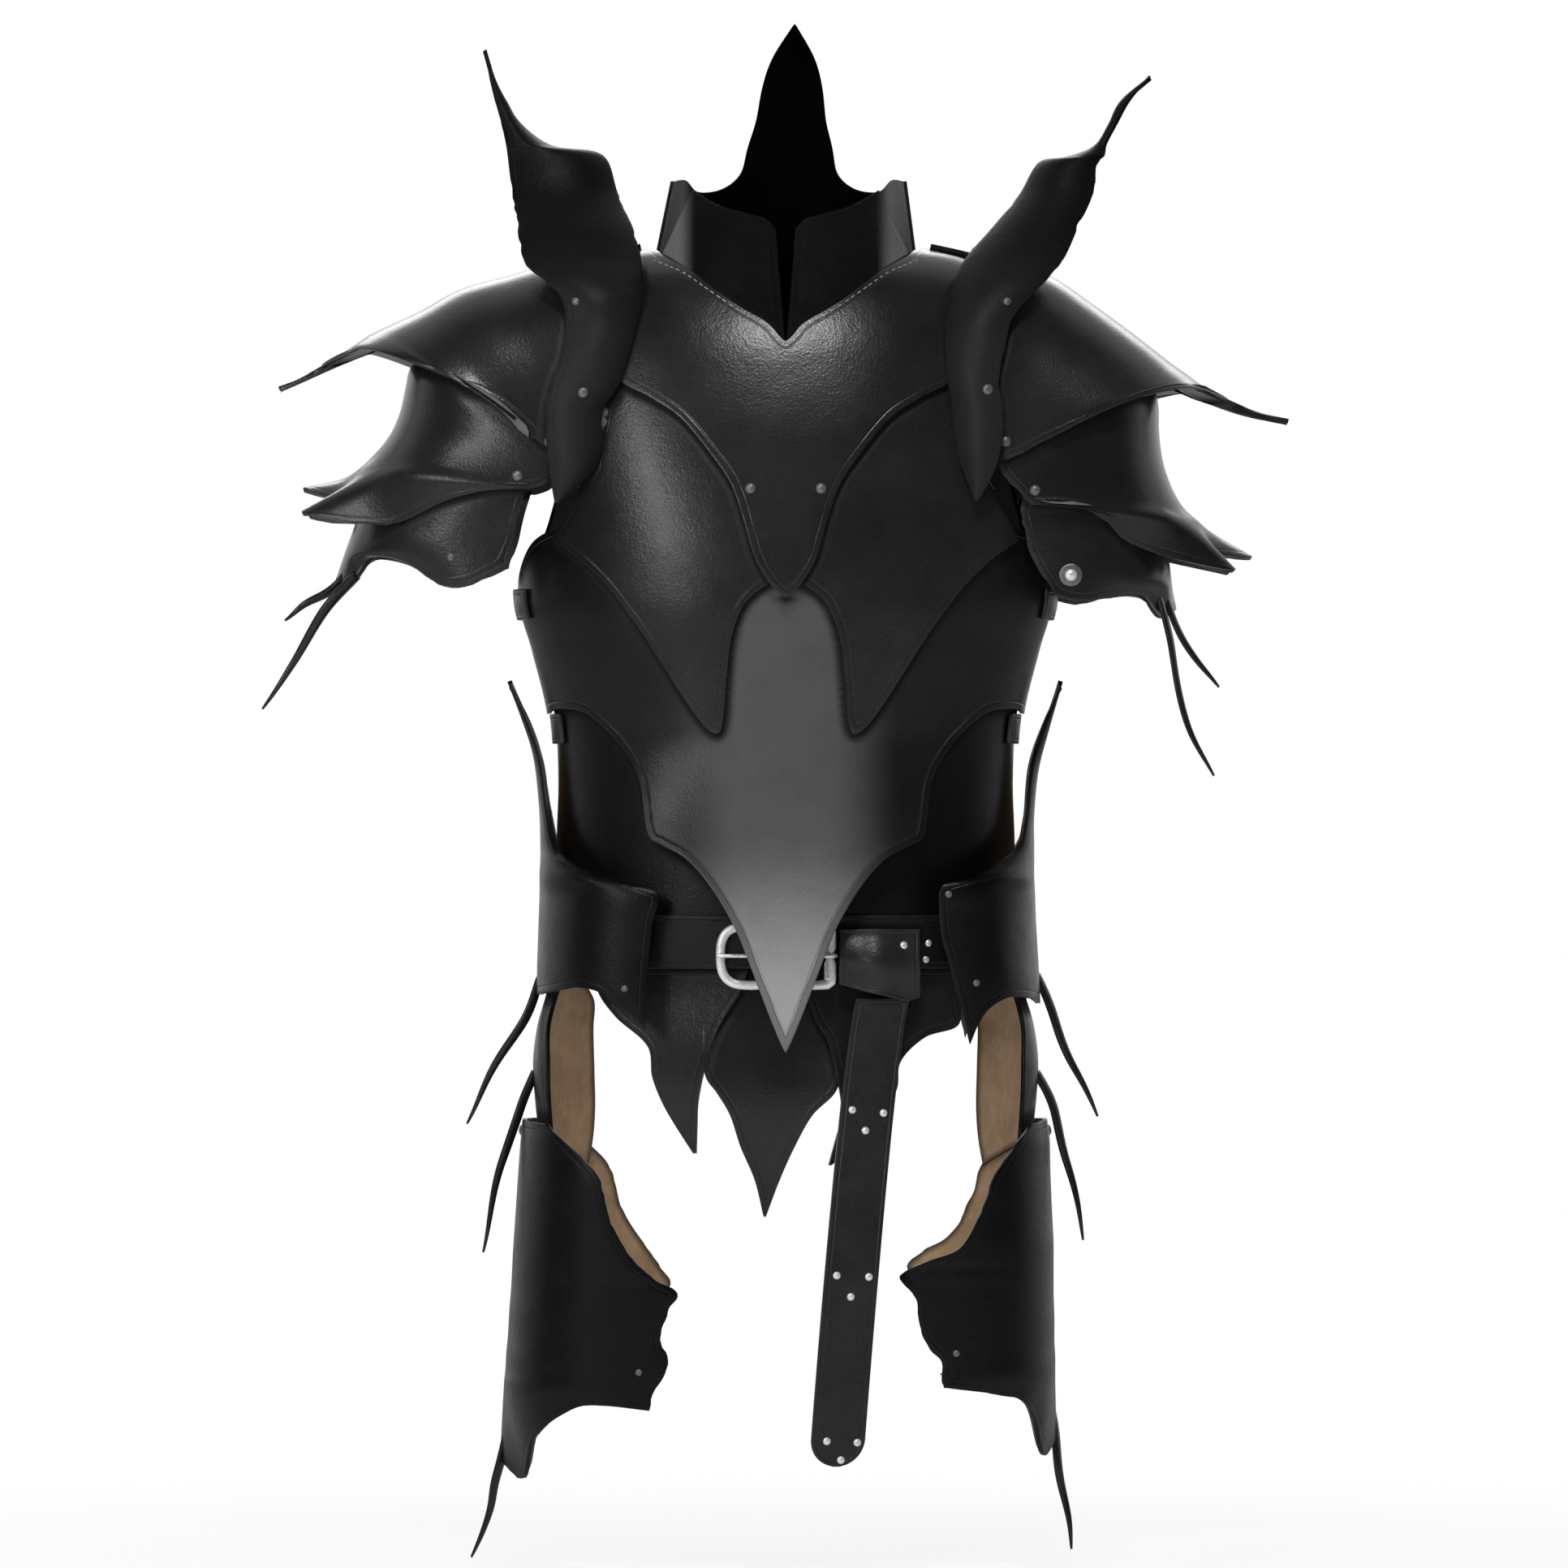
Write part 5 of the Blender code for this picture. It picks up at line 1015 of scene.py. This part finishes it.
# how far the lame and plates reach round the leg from the crest, front and rear, in degrees
thighSweeps = {
    "lame": [
        (30, 60), (26, 68), (30, 70), (36, 72), (35, 72), (34, 70), (34, 66),
    ],
    "plate": {
        "left": [
            (44, 44), (59, 66), (79, 82), (85, 88), (91, 94), (98, 99), (108, 103), (103, 100), (100, 98),
            (103, 99), (101, 97), (97, 94),
        ],
        "right": [
            (36, 38), (50, 58), (67, 72), (76, 80), (85, 88), (94, 95), (106, 101), (99, 96), (97, 94),
            (94, 92), (90, 89), (90, 88),
        ],
    },
}


def thighGrid(sign, table, sweeps, rim=None):
    power = 2 / arches["roundness"]
    steps = np.linspace(-1, 1, 2 * arches["columns"] + 1)
    parts = np.sign(steps) * np.abs(steps) ** arches["crowding"]
    ribs = []
    for (crestOut, crestUp, depth, frontUp, rearUp), (front, rear) in zip(table, sweeps):
        sweep = np.radians(np.where(parts < 0, front, rear)) * parts
        rise = np.sign(np.cos(sweep)) * np.abs(np.cos(sweep)) ** power
        reach = np.sign(sweep) * np.abs(np.sin(sweep)) ** power * depth
        out = thighCut["centre"] + (crestOut - thighCut["centre"]) * rise
        up = crestUp + (np.where(parts < 0, frontUp, rearUp) - crestUp) * parts ** 2
        ribs.append(placed(sign, out, up, reach))
    if rim:
        last = len(rim) - 1
        spots = np.array([alongTable(rim, last - abs(part) * last) for part in parts])
        ribs.append(placed(sign, spots[:, 0], spots[:, 1], reach))
    return runThrough(ribs, drawing["grid"])


def thighGuard(side, sign):
    hipTable = thighCut["hip"][side]
    root = (sign * hipTable[0][0] * span, 0, hipTable[0][1] * span)
    pieces = {"hip": leatherPiece(
        side + "HipPlateLeather", archGrid(sign, hipTable, thighCut["hipRim"][side]), "hip_guard_" + side,
        "hip_plate_" + side, outer="guardLeather", inner="tanFlesh", centre=root, torn=tears["hip"]
    )}
    plate = thighCut["plate"][side], thighSweeps["plate"][side], thighCut["plateRim"][side]
    shells = (
        ("lame", "upper_thigh_guard_", (thighCut["lame"], thighSweeps["lame"]), 0.0),
        ("plate", "lower_thigh_guard_", plate, tears["plate"]),
    )
    for label, body, drawn, notch in shells:
        middle = (sign * thighCut["centre"] * span, 0, drawn[0][0][1] * span)
        pieces[label] = leatherPiece(
            side + "Thigh" + label.capitalize() + "Leather", thighGrid(sign, *drawn), body + side,
            "thigh_" + label + "_" + side, outer="guardLeather", inner="tanFlesh", centre=middle, torn=notch
        )
    for label, body in (("hip", "hip_guard_"), ("lame", "upper_thigh_guard_"), ("plate", "lower_thigh_guard_")):
        strandGroup(side + label.capitalize() + "Strand", sign, [thighCut[label + "Strand"][side]], body + side)
    markSeams(pieces["lame"], pieces["hip"], pieces["plate"])
    return pieces


thighPieces = {side: thighGuard(side, sign) for side, sign in sides.items()}
print("thigh guards hung")


# Belt, buckle and what hangs from them
beltCut = {
    "level": -0.8385, "height": 0.039, "thickness": 0.004, "gap": 0.0007, "fit": 0.0005, "ends": (0.116, 4.075),
    "wrapUp": (-0.906, -0.823), "wrapAcross": (0.065, 0.162), "standoff": 0.006, "wrapDip": 0.016, "dipPeak": 0.62,
    "foldAt": 0.50, "foldWidth": 0.20, "foldTop": 0.003, "foldFoot": 0.004,
    "tailMiddle": 0.119, "tailWidth": 0.040, "tailLength": 0.340, "tailLean": 0.0345, "leanEase": 0.75,
    "tailKick": 0.030, "tailBow": 1.6, "tailEnd": 0.022, "tailTip": 0.020, "tipHalf": 0.0025, "hang": 0.0008,
    "sideStraps": {"upper": -0.425, "lower": -0.578}, "sideStrapHeight": 0.022, "sideStrapTurns": (0.80, 1.20, 41),
    # rows and columns of the meshes
    "roundBelt": 300, "edgeRows": 6, "wrapColumns": 36, "wrapRows": 24, "tailRows": 84, "tipRows": 16, "strapRows": 8,
    "flapColumns": 28, "flapSpacing": 0.0045, "flapTop": 0.002,
}
buckleCut = {
    "bar": (0.054, -0.855), "wire": 0.0022, "length": 0.080, "height": 0.043, "tongue": 0.0017, "air": 0.0003,
    "barHalf": 0.0044, "notch": 0.0014, "notchReach": 0.0042, "cornerHalf": 0.0038, "frameHalf": 0.0034,
    "squareness": 0.7,
}
flapCuts = {
    # rows: up, left edge, right edge; the depth is behind the belt's face
    "left": {"depth": 0.0005, "bow": 0.004, "rows": shares([
        (-872, -230, -45), (-898, -230, -55), (-930, -208, -75), (-967, -168, -92), (-1003, -163, -102),
        (-1036, -150, -108), (-1062, -135, -109), (-1096, -113, -110),
    ])},
    "centre": {"depth": 0.0085, "bow": 0.007, "rows": shares([
        (-872, -95, 70), (-930, -100, 70), (-1001, -98, 67), (-1022, -84, 60), (-1049, -68, 33),
        (-1088, -55, 11), (-1128, -38, -7), (-1173, -27, -24),
    ])},
    "right": {"depth": 0.0005, "bow": 0.004, "rows": shares([
        (-872, 26, 212), (-909, 28, 214), (-940, 40, 211), (-955, 50, 170), (-985, 58, 140), (-1017, 66, 136),
        (-1049, 69, 118), (-1081, 61, 92), (-1110, 53, 56),
    ])},
}


def beltFace(across, lift):
    height = beltCut["level"] * span
    full = levelValue(height, 1) * bodyForm["halfWidth"] + lift
    turn = math.asin((abs(across) / full) ** (bodyForm["roundness"] / 2)) * 2 / math.pi
    return Vector((across, bodyPoint(turn, height, lift)[1], height))


def strapPiece(name, ribs, body, node, look="strapLeather", **cut):
    return leatherPiece(name, np.array(ribs), body, node, outer=look, inner=look, slot="strap_leather", **cut)


def beltStrap():
    ribs = []
    first, last = beltCut["ends"]
    edgeRows = range(-beltCut["edgeRows"], beltCut["edgeRows"] + 1)
    for turn in np.linspace(first, last, beltCut["roundBelt"] + 1):
        x, y, z = bodyPoint(abs((turn + 2) % 4 - 2), beltCut["level"] * span, beltCut["gap"])
        x = -x if 2 < turn < 4 else x
        ribs.append([(x, y, z + row * beltCut["height"] / (2 * beltCut["edgeRows"])) for row in edgeRows])
    return strapPiece(
        "beltStrapLeather", ribs, "cuirass", "belt", look="beltLeather", thickness=beltCut["thickness"],
        centre=(0, 0, beltCut["level"] * span), outward=True
    )


def beltWrap():
    lift = beltCut["gap"] + beltCut["fit"] + beltCut["thickness"]
    low, high = (share * span for share in beltCut["wrapUp"])
    left, right = (share * span for share in beltCut["wrapAcross"])
    ribs = []
    for column in range(beltCut["wrapColumns"] + 1):
        part = column / beltCut["wrapColumns"]
        across = left + (right - left) * part
        bottom = low + beltCut["wrapDip"] * (beltCut["dipPeak"] - min(part, 1 + beltCut["dipPeak"] - part))
        fold = math.exp(-((part - beltCut["foldAt"]) / beltCut["foldWidth"]) ** 2)
        rib = []
        for row in range(beltCut["wrapRows"] + 1):
            down = row / beltCut["wrapRows"]
            swell = math.sin(math.pi * down) ** 2 * beltCut["standoff"]
            swell += fold * (beltCut["foldTop"] + beltCut["foldFoot"] * down)
            point = beltFace(across, lift + swell)
            rib.append((point.x, point.y, high + (bottom - high) * down))
        ribs.append(rib)
    return strapPiece(
        "beltWrapLeather", ribs, "cuirass", "belt_wrap", thickness=beltCut["thickness"], centre=(0, 1, 0),
        outward=True
    )


def beltTail():
    low = beltCut["wrapUp"][0] * span - beltCut["hang"]
    lift = beltCut["gap"] + beltCut["fit"] + beltCut["thickness"] * 2
    ends = []
    for sign in (-1, 1):
        point = beltFace(beltCut["tailMiddle"] * span + sign * beltCut["tailWidth"] / 2, lift)
        ends.append(Vector((point.x, point.y, low)))
    along = (ends[1] - ends[0]).normalized()
    ribs = []
    length = beltCut["tailLength"]
    straight = np.linspace(0, length - beltCut["tailEnd"], beltCut["tailRows"])
    for drop in [*straight, *np.linspace(length - beltCut["tailTip"], length, beltCut["tipRows"])]:
        part = drop / length
        bow = beltCut["tailKick"] * (1 - math.cos(math.pi * min(part * beltCut["tailBow"], 1))) / 2
        lean = beltCut["tailLean"] * part ** beltCut["leanEase"]
        middle = (ends[0] + ends[1]) / 2 + Vector((-lean, -bow, -drop))
        left = length - drop
        half = beltCut["tailWidth"] / 2
        if left < half:
            half = max(math.sqrt(max(half ** 2 - (half - left) ** 2, 0)), beltCut["tipHalf"])
        edgeRows = range(-beltCut["edgeRows"], beltCut["edgeRows"] + 1)
        ribs.append([middle + along * half * row / beltCut["edgeRows"] for row in edgeRows])
    return strapPiece(
        "beltTailLeather", ribs, "strap_tail", "belt_tail", thickness=drawing["strap"], centre=(0, 1, 0)
    )


def hangingFlap(side):
    table = flapCuts[side]["rows"]
    first, second = (beltFace(share * span, -flapCuts[side]["depth"]) for share in table[0][1:])
    first.z = second.z = 0
    along = (second - first) / (second.x - first.x)
    level = beltCut["level"] * span - beltCut["height"] / 2 - beltCut["hang"]
    top, tip = table[0][0], table[-1][0]
    ribs = []
    for up, left, right in runThrough([(top + beltCut["flapTop"], *table[0][1:]), *table[1:]], beltCut["flapSpacing"]):
        rib = []
        for column in range(beltCut["flapColumns"] + 1):
            across = (left + (right - left) * column / beltCut["flapColumns"]) * span
            point = first + along * (across - first.x)
            bow = flapCuts[side]["bow"] * math.sin(math.pi * min((top - up) / (top - tip), 1)) ** 2
            rib.append((point.x, point.y - bow, level + (up - top) * span))
        ribs.append(rib)
    return leatherPiece(
        side + "FlapLeather", np.array(ribs), side + "_flap", "hanging_flap_" + side, centre=(0, 1, 0)
    )


def sideStrap(side, sign, level):
    height = beltCut["sideStraps"][level] * span
    lift = (drawing["pitch"] if level == "upper" else 0) + beltCut["gap"]
    ribs = []
    for turn in np.linspace(*beltCut["sideStrapTurns"]):
        rib = []
        for row in range(beltCut["strapRows"] + 1):
            shift = beltCut["sideStrapHeight"] * (row / beltCut["strapRows"] - 0.5)
            x, y, z = bodyPoint(turn, height + shift, lift)
            rib.append((sign * x, y, z))
        ribs.append(rib)
    return strapPiece(
        side + level.capitalize() + "SideStrap", ribs, "cuirass", "side_strap_" + side + "_" + level,
        thickness=drawing["strap"], centre=(0, 0, height), outward=True
    )


def shownForm(piece):
    bpy.context.view_layer.update()
    return piece.evaluated_get(bpy.context.evaluated_depsgraph_get())


def metalPiece(name, bm, body, replaced=(), finish="nickelSteel"):
    bmesh.ops.recalc_face_normals(bm, faces=bm.faces)
    return addPiece(name, meshFrom(bm, name, finish), body, replaced)


def steelTube(name, points, radius, body, node, taper):
    curve = bpy.data.curves.new(name, "CURVE")
    curve.dimensions = "3D"
    curve.bevel_depth = radius
    curve.bevel_resolution = 5
    curve.use_fill_caps = True
    spline = curve.splines.new("POLY")
    spline.points.add(len(points) - 1)
    for index, point in enumerate(points):
        spline.points[index].co = (*point, 1)
        spline.points[index].radius = taper(index / (len(points) - 1))
    guide = linked(name + "Guide", curve)
    mesh = bpy.data.meshes.new_from_object(shownForm(guide))
    bpy.data.objects.remove(guide)
    mesh.name = name
    mesh.shade_smooth()
    mesh.materials.clear()
    mesh.materials.append(finishes["nickelSteel"])
    return addPiece(name, mesh, body, [node])


def flatRing(name, path, body, node):
    # A closed frame of oval wire: (centre, half width) round the frame, in a plane across Y
    count = len(path)
    bm = bmesh.new()
    bmesh.ops.create_grid(bm, x_segments=count, y_segments=16, size=1)
    for vert in bm.verts:
        i = round((vert.co.x + 1) / 2 * count) % count
        angle = math.pi * (vert.co.y + 1)
        centre, wide = path[i]
        ahead = (path[(i + 1) % count][0] - path[i - 1][0]).normalized()
        across = Vector((ahead.z, 0, -ahead.x)) * wide * math.cos(angle)
        vert.co = centre + across + Vector((0, buckleCut["wire"] * math.sin(angle), 0))
    bmesh.ops.remove_doubles(bm, verts=bm.verts, dist=drawing["merge"])
    return metalPiece(name, bm, body, [node])


def buckle():
    front = beltFace(0, beltCut["gap"] + beltCut["thickness"]).y
    across, up = (share * span for share in buckleCut["bar"])
    bar = Vector((across, front - buckleCut["wire"] - beltCut["fit"], up))
    half = buckleCut["height"] / 2
    nose = buckleCut["length"] - half
    rail = [(bar + Vector((-nose * part, 0, half)), buckleCut["frameHalf"]) for part in np.linspace(0.15, 1, 10)]
    corner = Vector((-buckleCut["wire"], 0, half * 0.97))
    path = []
    for row in np.linspace(-0.86, 0.86, 33):
        notch = buckleCut["notch"] * math.exp(-(row * half / buckleCut["notchReach"]) ** 4)
        path.append((bar + Vector((0, 0, row * half)), buckleCut["barHalf"] - notch))
    path += [(bar + corner, buckleCut["cornerHalf"]), *rail]
    for step in range(1, 32):
        angle = math.pi * step / 32
        rise = math.copysign(abs(math.cos(angle)) ** buckleCut["squareness"], math.cos(angle))
        bend = Vector((-math.sin(angle) ** buckleCut["squareness"], 0, rise))
        path.append((bar + Vector((-nose, 0, 0)) + bend * half, buckleCut["frameHalf"]))
    path += [(spot - Vector((0, 0, 2 * half)), wide) for spot, wide in rail[::-1]]
    path.append((bar + Vector((corner.x, 0, -corner.z)), buckleCut["cornerHalf"]))
    flatRing("beltBuckleFrame", path, "cuirass", "belt_buckle")
    ring = buckleCut["wire"] + buckleCut["air"] + buckleCut["tongue"]
    reach = buckleCut["length"] + buckleCut["wire"]
    points = [bar + Vector((-reach * part, -ring, 0)) for part in np.linspace(1, 0.08, 14)]
    for step in range(13):
        angle = math.pi * step / 12
        points.append(bar + Vector((ring * math.sin(angle), -ring * math.cos(angle), 0)))
    steelTube("beltBuckleTongue", points, buckleCut["tongue"], "buckle_tongue", "belt_tongue",
              taper=lambda part: 0.72 + 0.28 * min(part * 4, 1))


beltPiece = beltStrap()
wrapPiece = beltWrap()
tailPiece = beltTail()
flapPieces = {side: hangingFlap(side) for side in flapCuts}
for side, sign in sides.items():
    for level in beltCut["sideStraps"]:
        sideStrap(side, sign, level)
buckle()
markSeams(beltPiece, wrapPiece)
markSeams(flapPieces["centre"], flapPieces["left"], flapPieces["right"], beltPiece)
for side in sides:
    markSeams(flapPieces[side], beltPiece)
print("belt, buckle, tail and flaps made")


# Rivets
rivetCut = {
    "head": (0.0040, 0.0022), "burr": (0.0042, 0.0012), "steps": 28, "sunk": 0.0002,
    # the dome, as shares of its radius and rise, from the top to the foot
    "dome": ((0, 1), (0.35, 0.96), (0.62, 0.82), (0.84, 0.55), (0.97, 0.26), (1, 0.12), (1, 0), (0.6, 0), (0, 0)),
}
rivetNodes = {
    # node: body, way it faces, the guard and the piece that carries it
    "chest_rivet": ("cuirass", "front", None, None),
    "fin_rivet": ("shoulder_", "front", shoulderPieces, "fin"),
    "upper_pivot_front": ("shoulder_", "front", shoulderPieces, "upper"),
    "upper_pivot_rear": ("shoulder_", "rear", shoulderPieces, "upper"),
    "lower_pivot_front": ("middle_lame_", "front", shoulderPieces, "middle"),
    "lower_pivot_rear": ("middle_lame_", "rear", shoulderPieces, "middle"),
    "hip_pivot": ("hip_guard_", "side", thighPieces, "hip"),
    "thigh_pivot": ("lower_thigh_guard_", "side", thighPieces, "plate"),
}


def dome(bm, radius, rise, place, normal):
    # A closed turned head that faces along the normal
    verts = [bm.verts.new((radius * out, 0, rise * up)) for out, up in rivetCut["dome"]]
    edges = [bm.edges.new(pair) for pair in zip(verts, verts[1:])]
    bmesh.ops.spin(
        bm, geom=verts + edges, cent=(0, 0, 0), axis=(0, 0, 1), angle=math.tau, steps=rivetCut["steps"],
        use_merge=True
    )
    bmesh.ops.remove_doubles(bm, verts=[vert for vert in bm.verts if not vert.tag], dist=drawing["merge"])
    turned = Matrix.Translation(place) @ normal.to_track_quat("Z", "Y").to_matrix().to_4x4()
    bmesh.ops.transform(bm, verts=[vert for vert in bm.verts if not vert.tag], matrix=turned)
    for vert in bm.verts:
        vert.tag = True


def structuralRivet(label, side, body, facing, carrier):
    node = label + "_" + side
    low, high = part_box(node)
    middle = (low + high) / 2
    axis = {"front": Vector((0, -1, 0)), "rear": Vector((0, 1, 0)), "side": Vector((sides[side], 0, 0))}[facing]
    along = 0 if facing == "side" else 1
    half = (high[along] - low[along]) / 2
    hit, seat, normal, face = shownForm(carrier).ray_cast(middle + axis * 0.1, -axis)
    if hit:
        seat = seat - normal * rivetCut["sunk"]
    else:
        seat, normal = middle + axis * (half - rivetCut["head"][1]), axis
    bm = bmesh.new()
    dome(bm, *rivetCut["head"], seat, normal)
    dome(bm, *rivetCut["burr"], middle - axis * (half - rivetCut["burr"][1]), -axis)
    words = label.split("_")
    name = side + "".join(word.capitalize() for word in words) + ("" if "rivet" in words else "Rivet")
    metalPiece(name, bm, body, [node], finish="agedSteel")


for label, (body, facing, guard, part) in rivetNodes.items():
    for side in sides:
        carrier = guard[side][part] if guard else torsoPieces["chest"]
        structuralRivet(label, side, body + side if guard else body, facing, carrier)


def studs(name, body, carrier, spots, size, finish="nickelSteel"):
    # Small domed studs at pixels of the photograph, each seated on the leather that it is set in
    shown = shownForm(carrier)
    bm = bmesh.new()
    for across, down in spots:
        x, z = (across - drawing["middle"]) * drawing["pixel"], (drawing["top"] - down) * drawing["pixel"]
        hit, place, normal, face = shown.ray_cast(Vector((x, -1, z)), Vector((0, 1, 0)))
        if hit:
            dome(bm, *size, place - normal * rivetCut["sunk"], normal)
        else:
            print("no leather under", name, across, down)
    return metalPiece(name, bm, body, finish=finish)


small, medium = (0.0026, 0.0014), (0.0030, 0.0017)
arm = {side: shoulderPieces[side]["lower"] for side in sides}
hip = {side: thighPieces[side]["hip"] for side in sides}
plate = {side: thighPieces[side]["plate"] for side in sides}
for side, spot in {"left": (712, 378), "right": (1238, 378)}.items():
    studs(side + "FinStud", "shoulder_" + side, shoulderPieces[side]["fin"], [spot], medium, "agedSteel")
studs("tailStuds", "strap_tail", tailPiece, [
    (1049, 1362), (1087, 1366), (1065, 1387), (1030, 1562), (1069, 1564), (1047, 1588), (1018, 1763),
    (1055, 1765), (1035, 1786)
], (0.0029, 0.0016))
studs("wrapStuds", "cuirass", wrapPiece, [(1112, 1162)], (0.0030, 0.0016))
studs("beltStuds", "cuirass", beltPiece, [(1142, 1160), (1139, 1180)], small)
studs("leftArmStud", "lower_lame_left", arm["left"], [(559, 689)], medium, "agedSteel")
studs("rightArmWasher", "lower_lame_right", arm["right"], [(1316, 711)], (0.0085, 0.0012), "agedSteel")
studs("rightArmStud", "lower_lame_right", arm["right"], [(1316, 711)], (0.0048, 0.0032))
studs("leftHipStuds", "hip_guard_left", hip["left"], [(772, 1215)], small, "agedSteel")
studs("rightHipStuds", "hip_guard_right", hip["right"], [(1166, 1100), (1200, 1208)], small, "agedSteel")
studs("leftThighStud", "lower_thigh_guard_left", plate["left"], [(789, 1683)], small, "agedSteel")
studs("rightThighStud", "lower_thigh_guard_right", plate["right"], [(1176, 1660)], small, "agedSteel")
print("rivets and studs set")


# CAD straps and the flap band that stay as they are: their leather
kept = [name + side for name in ("arm_strap_", "thigh_strap_", "shoulder_strap_", "hip_hanger_") for side in sides]
for name in [*kept, "flap_hanger"]:
    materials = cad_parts[name].data.materials
    materials.clear()
    materials.append(finishes["strapLeather"])
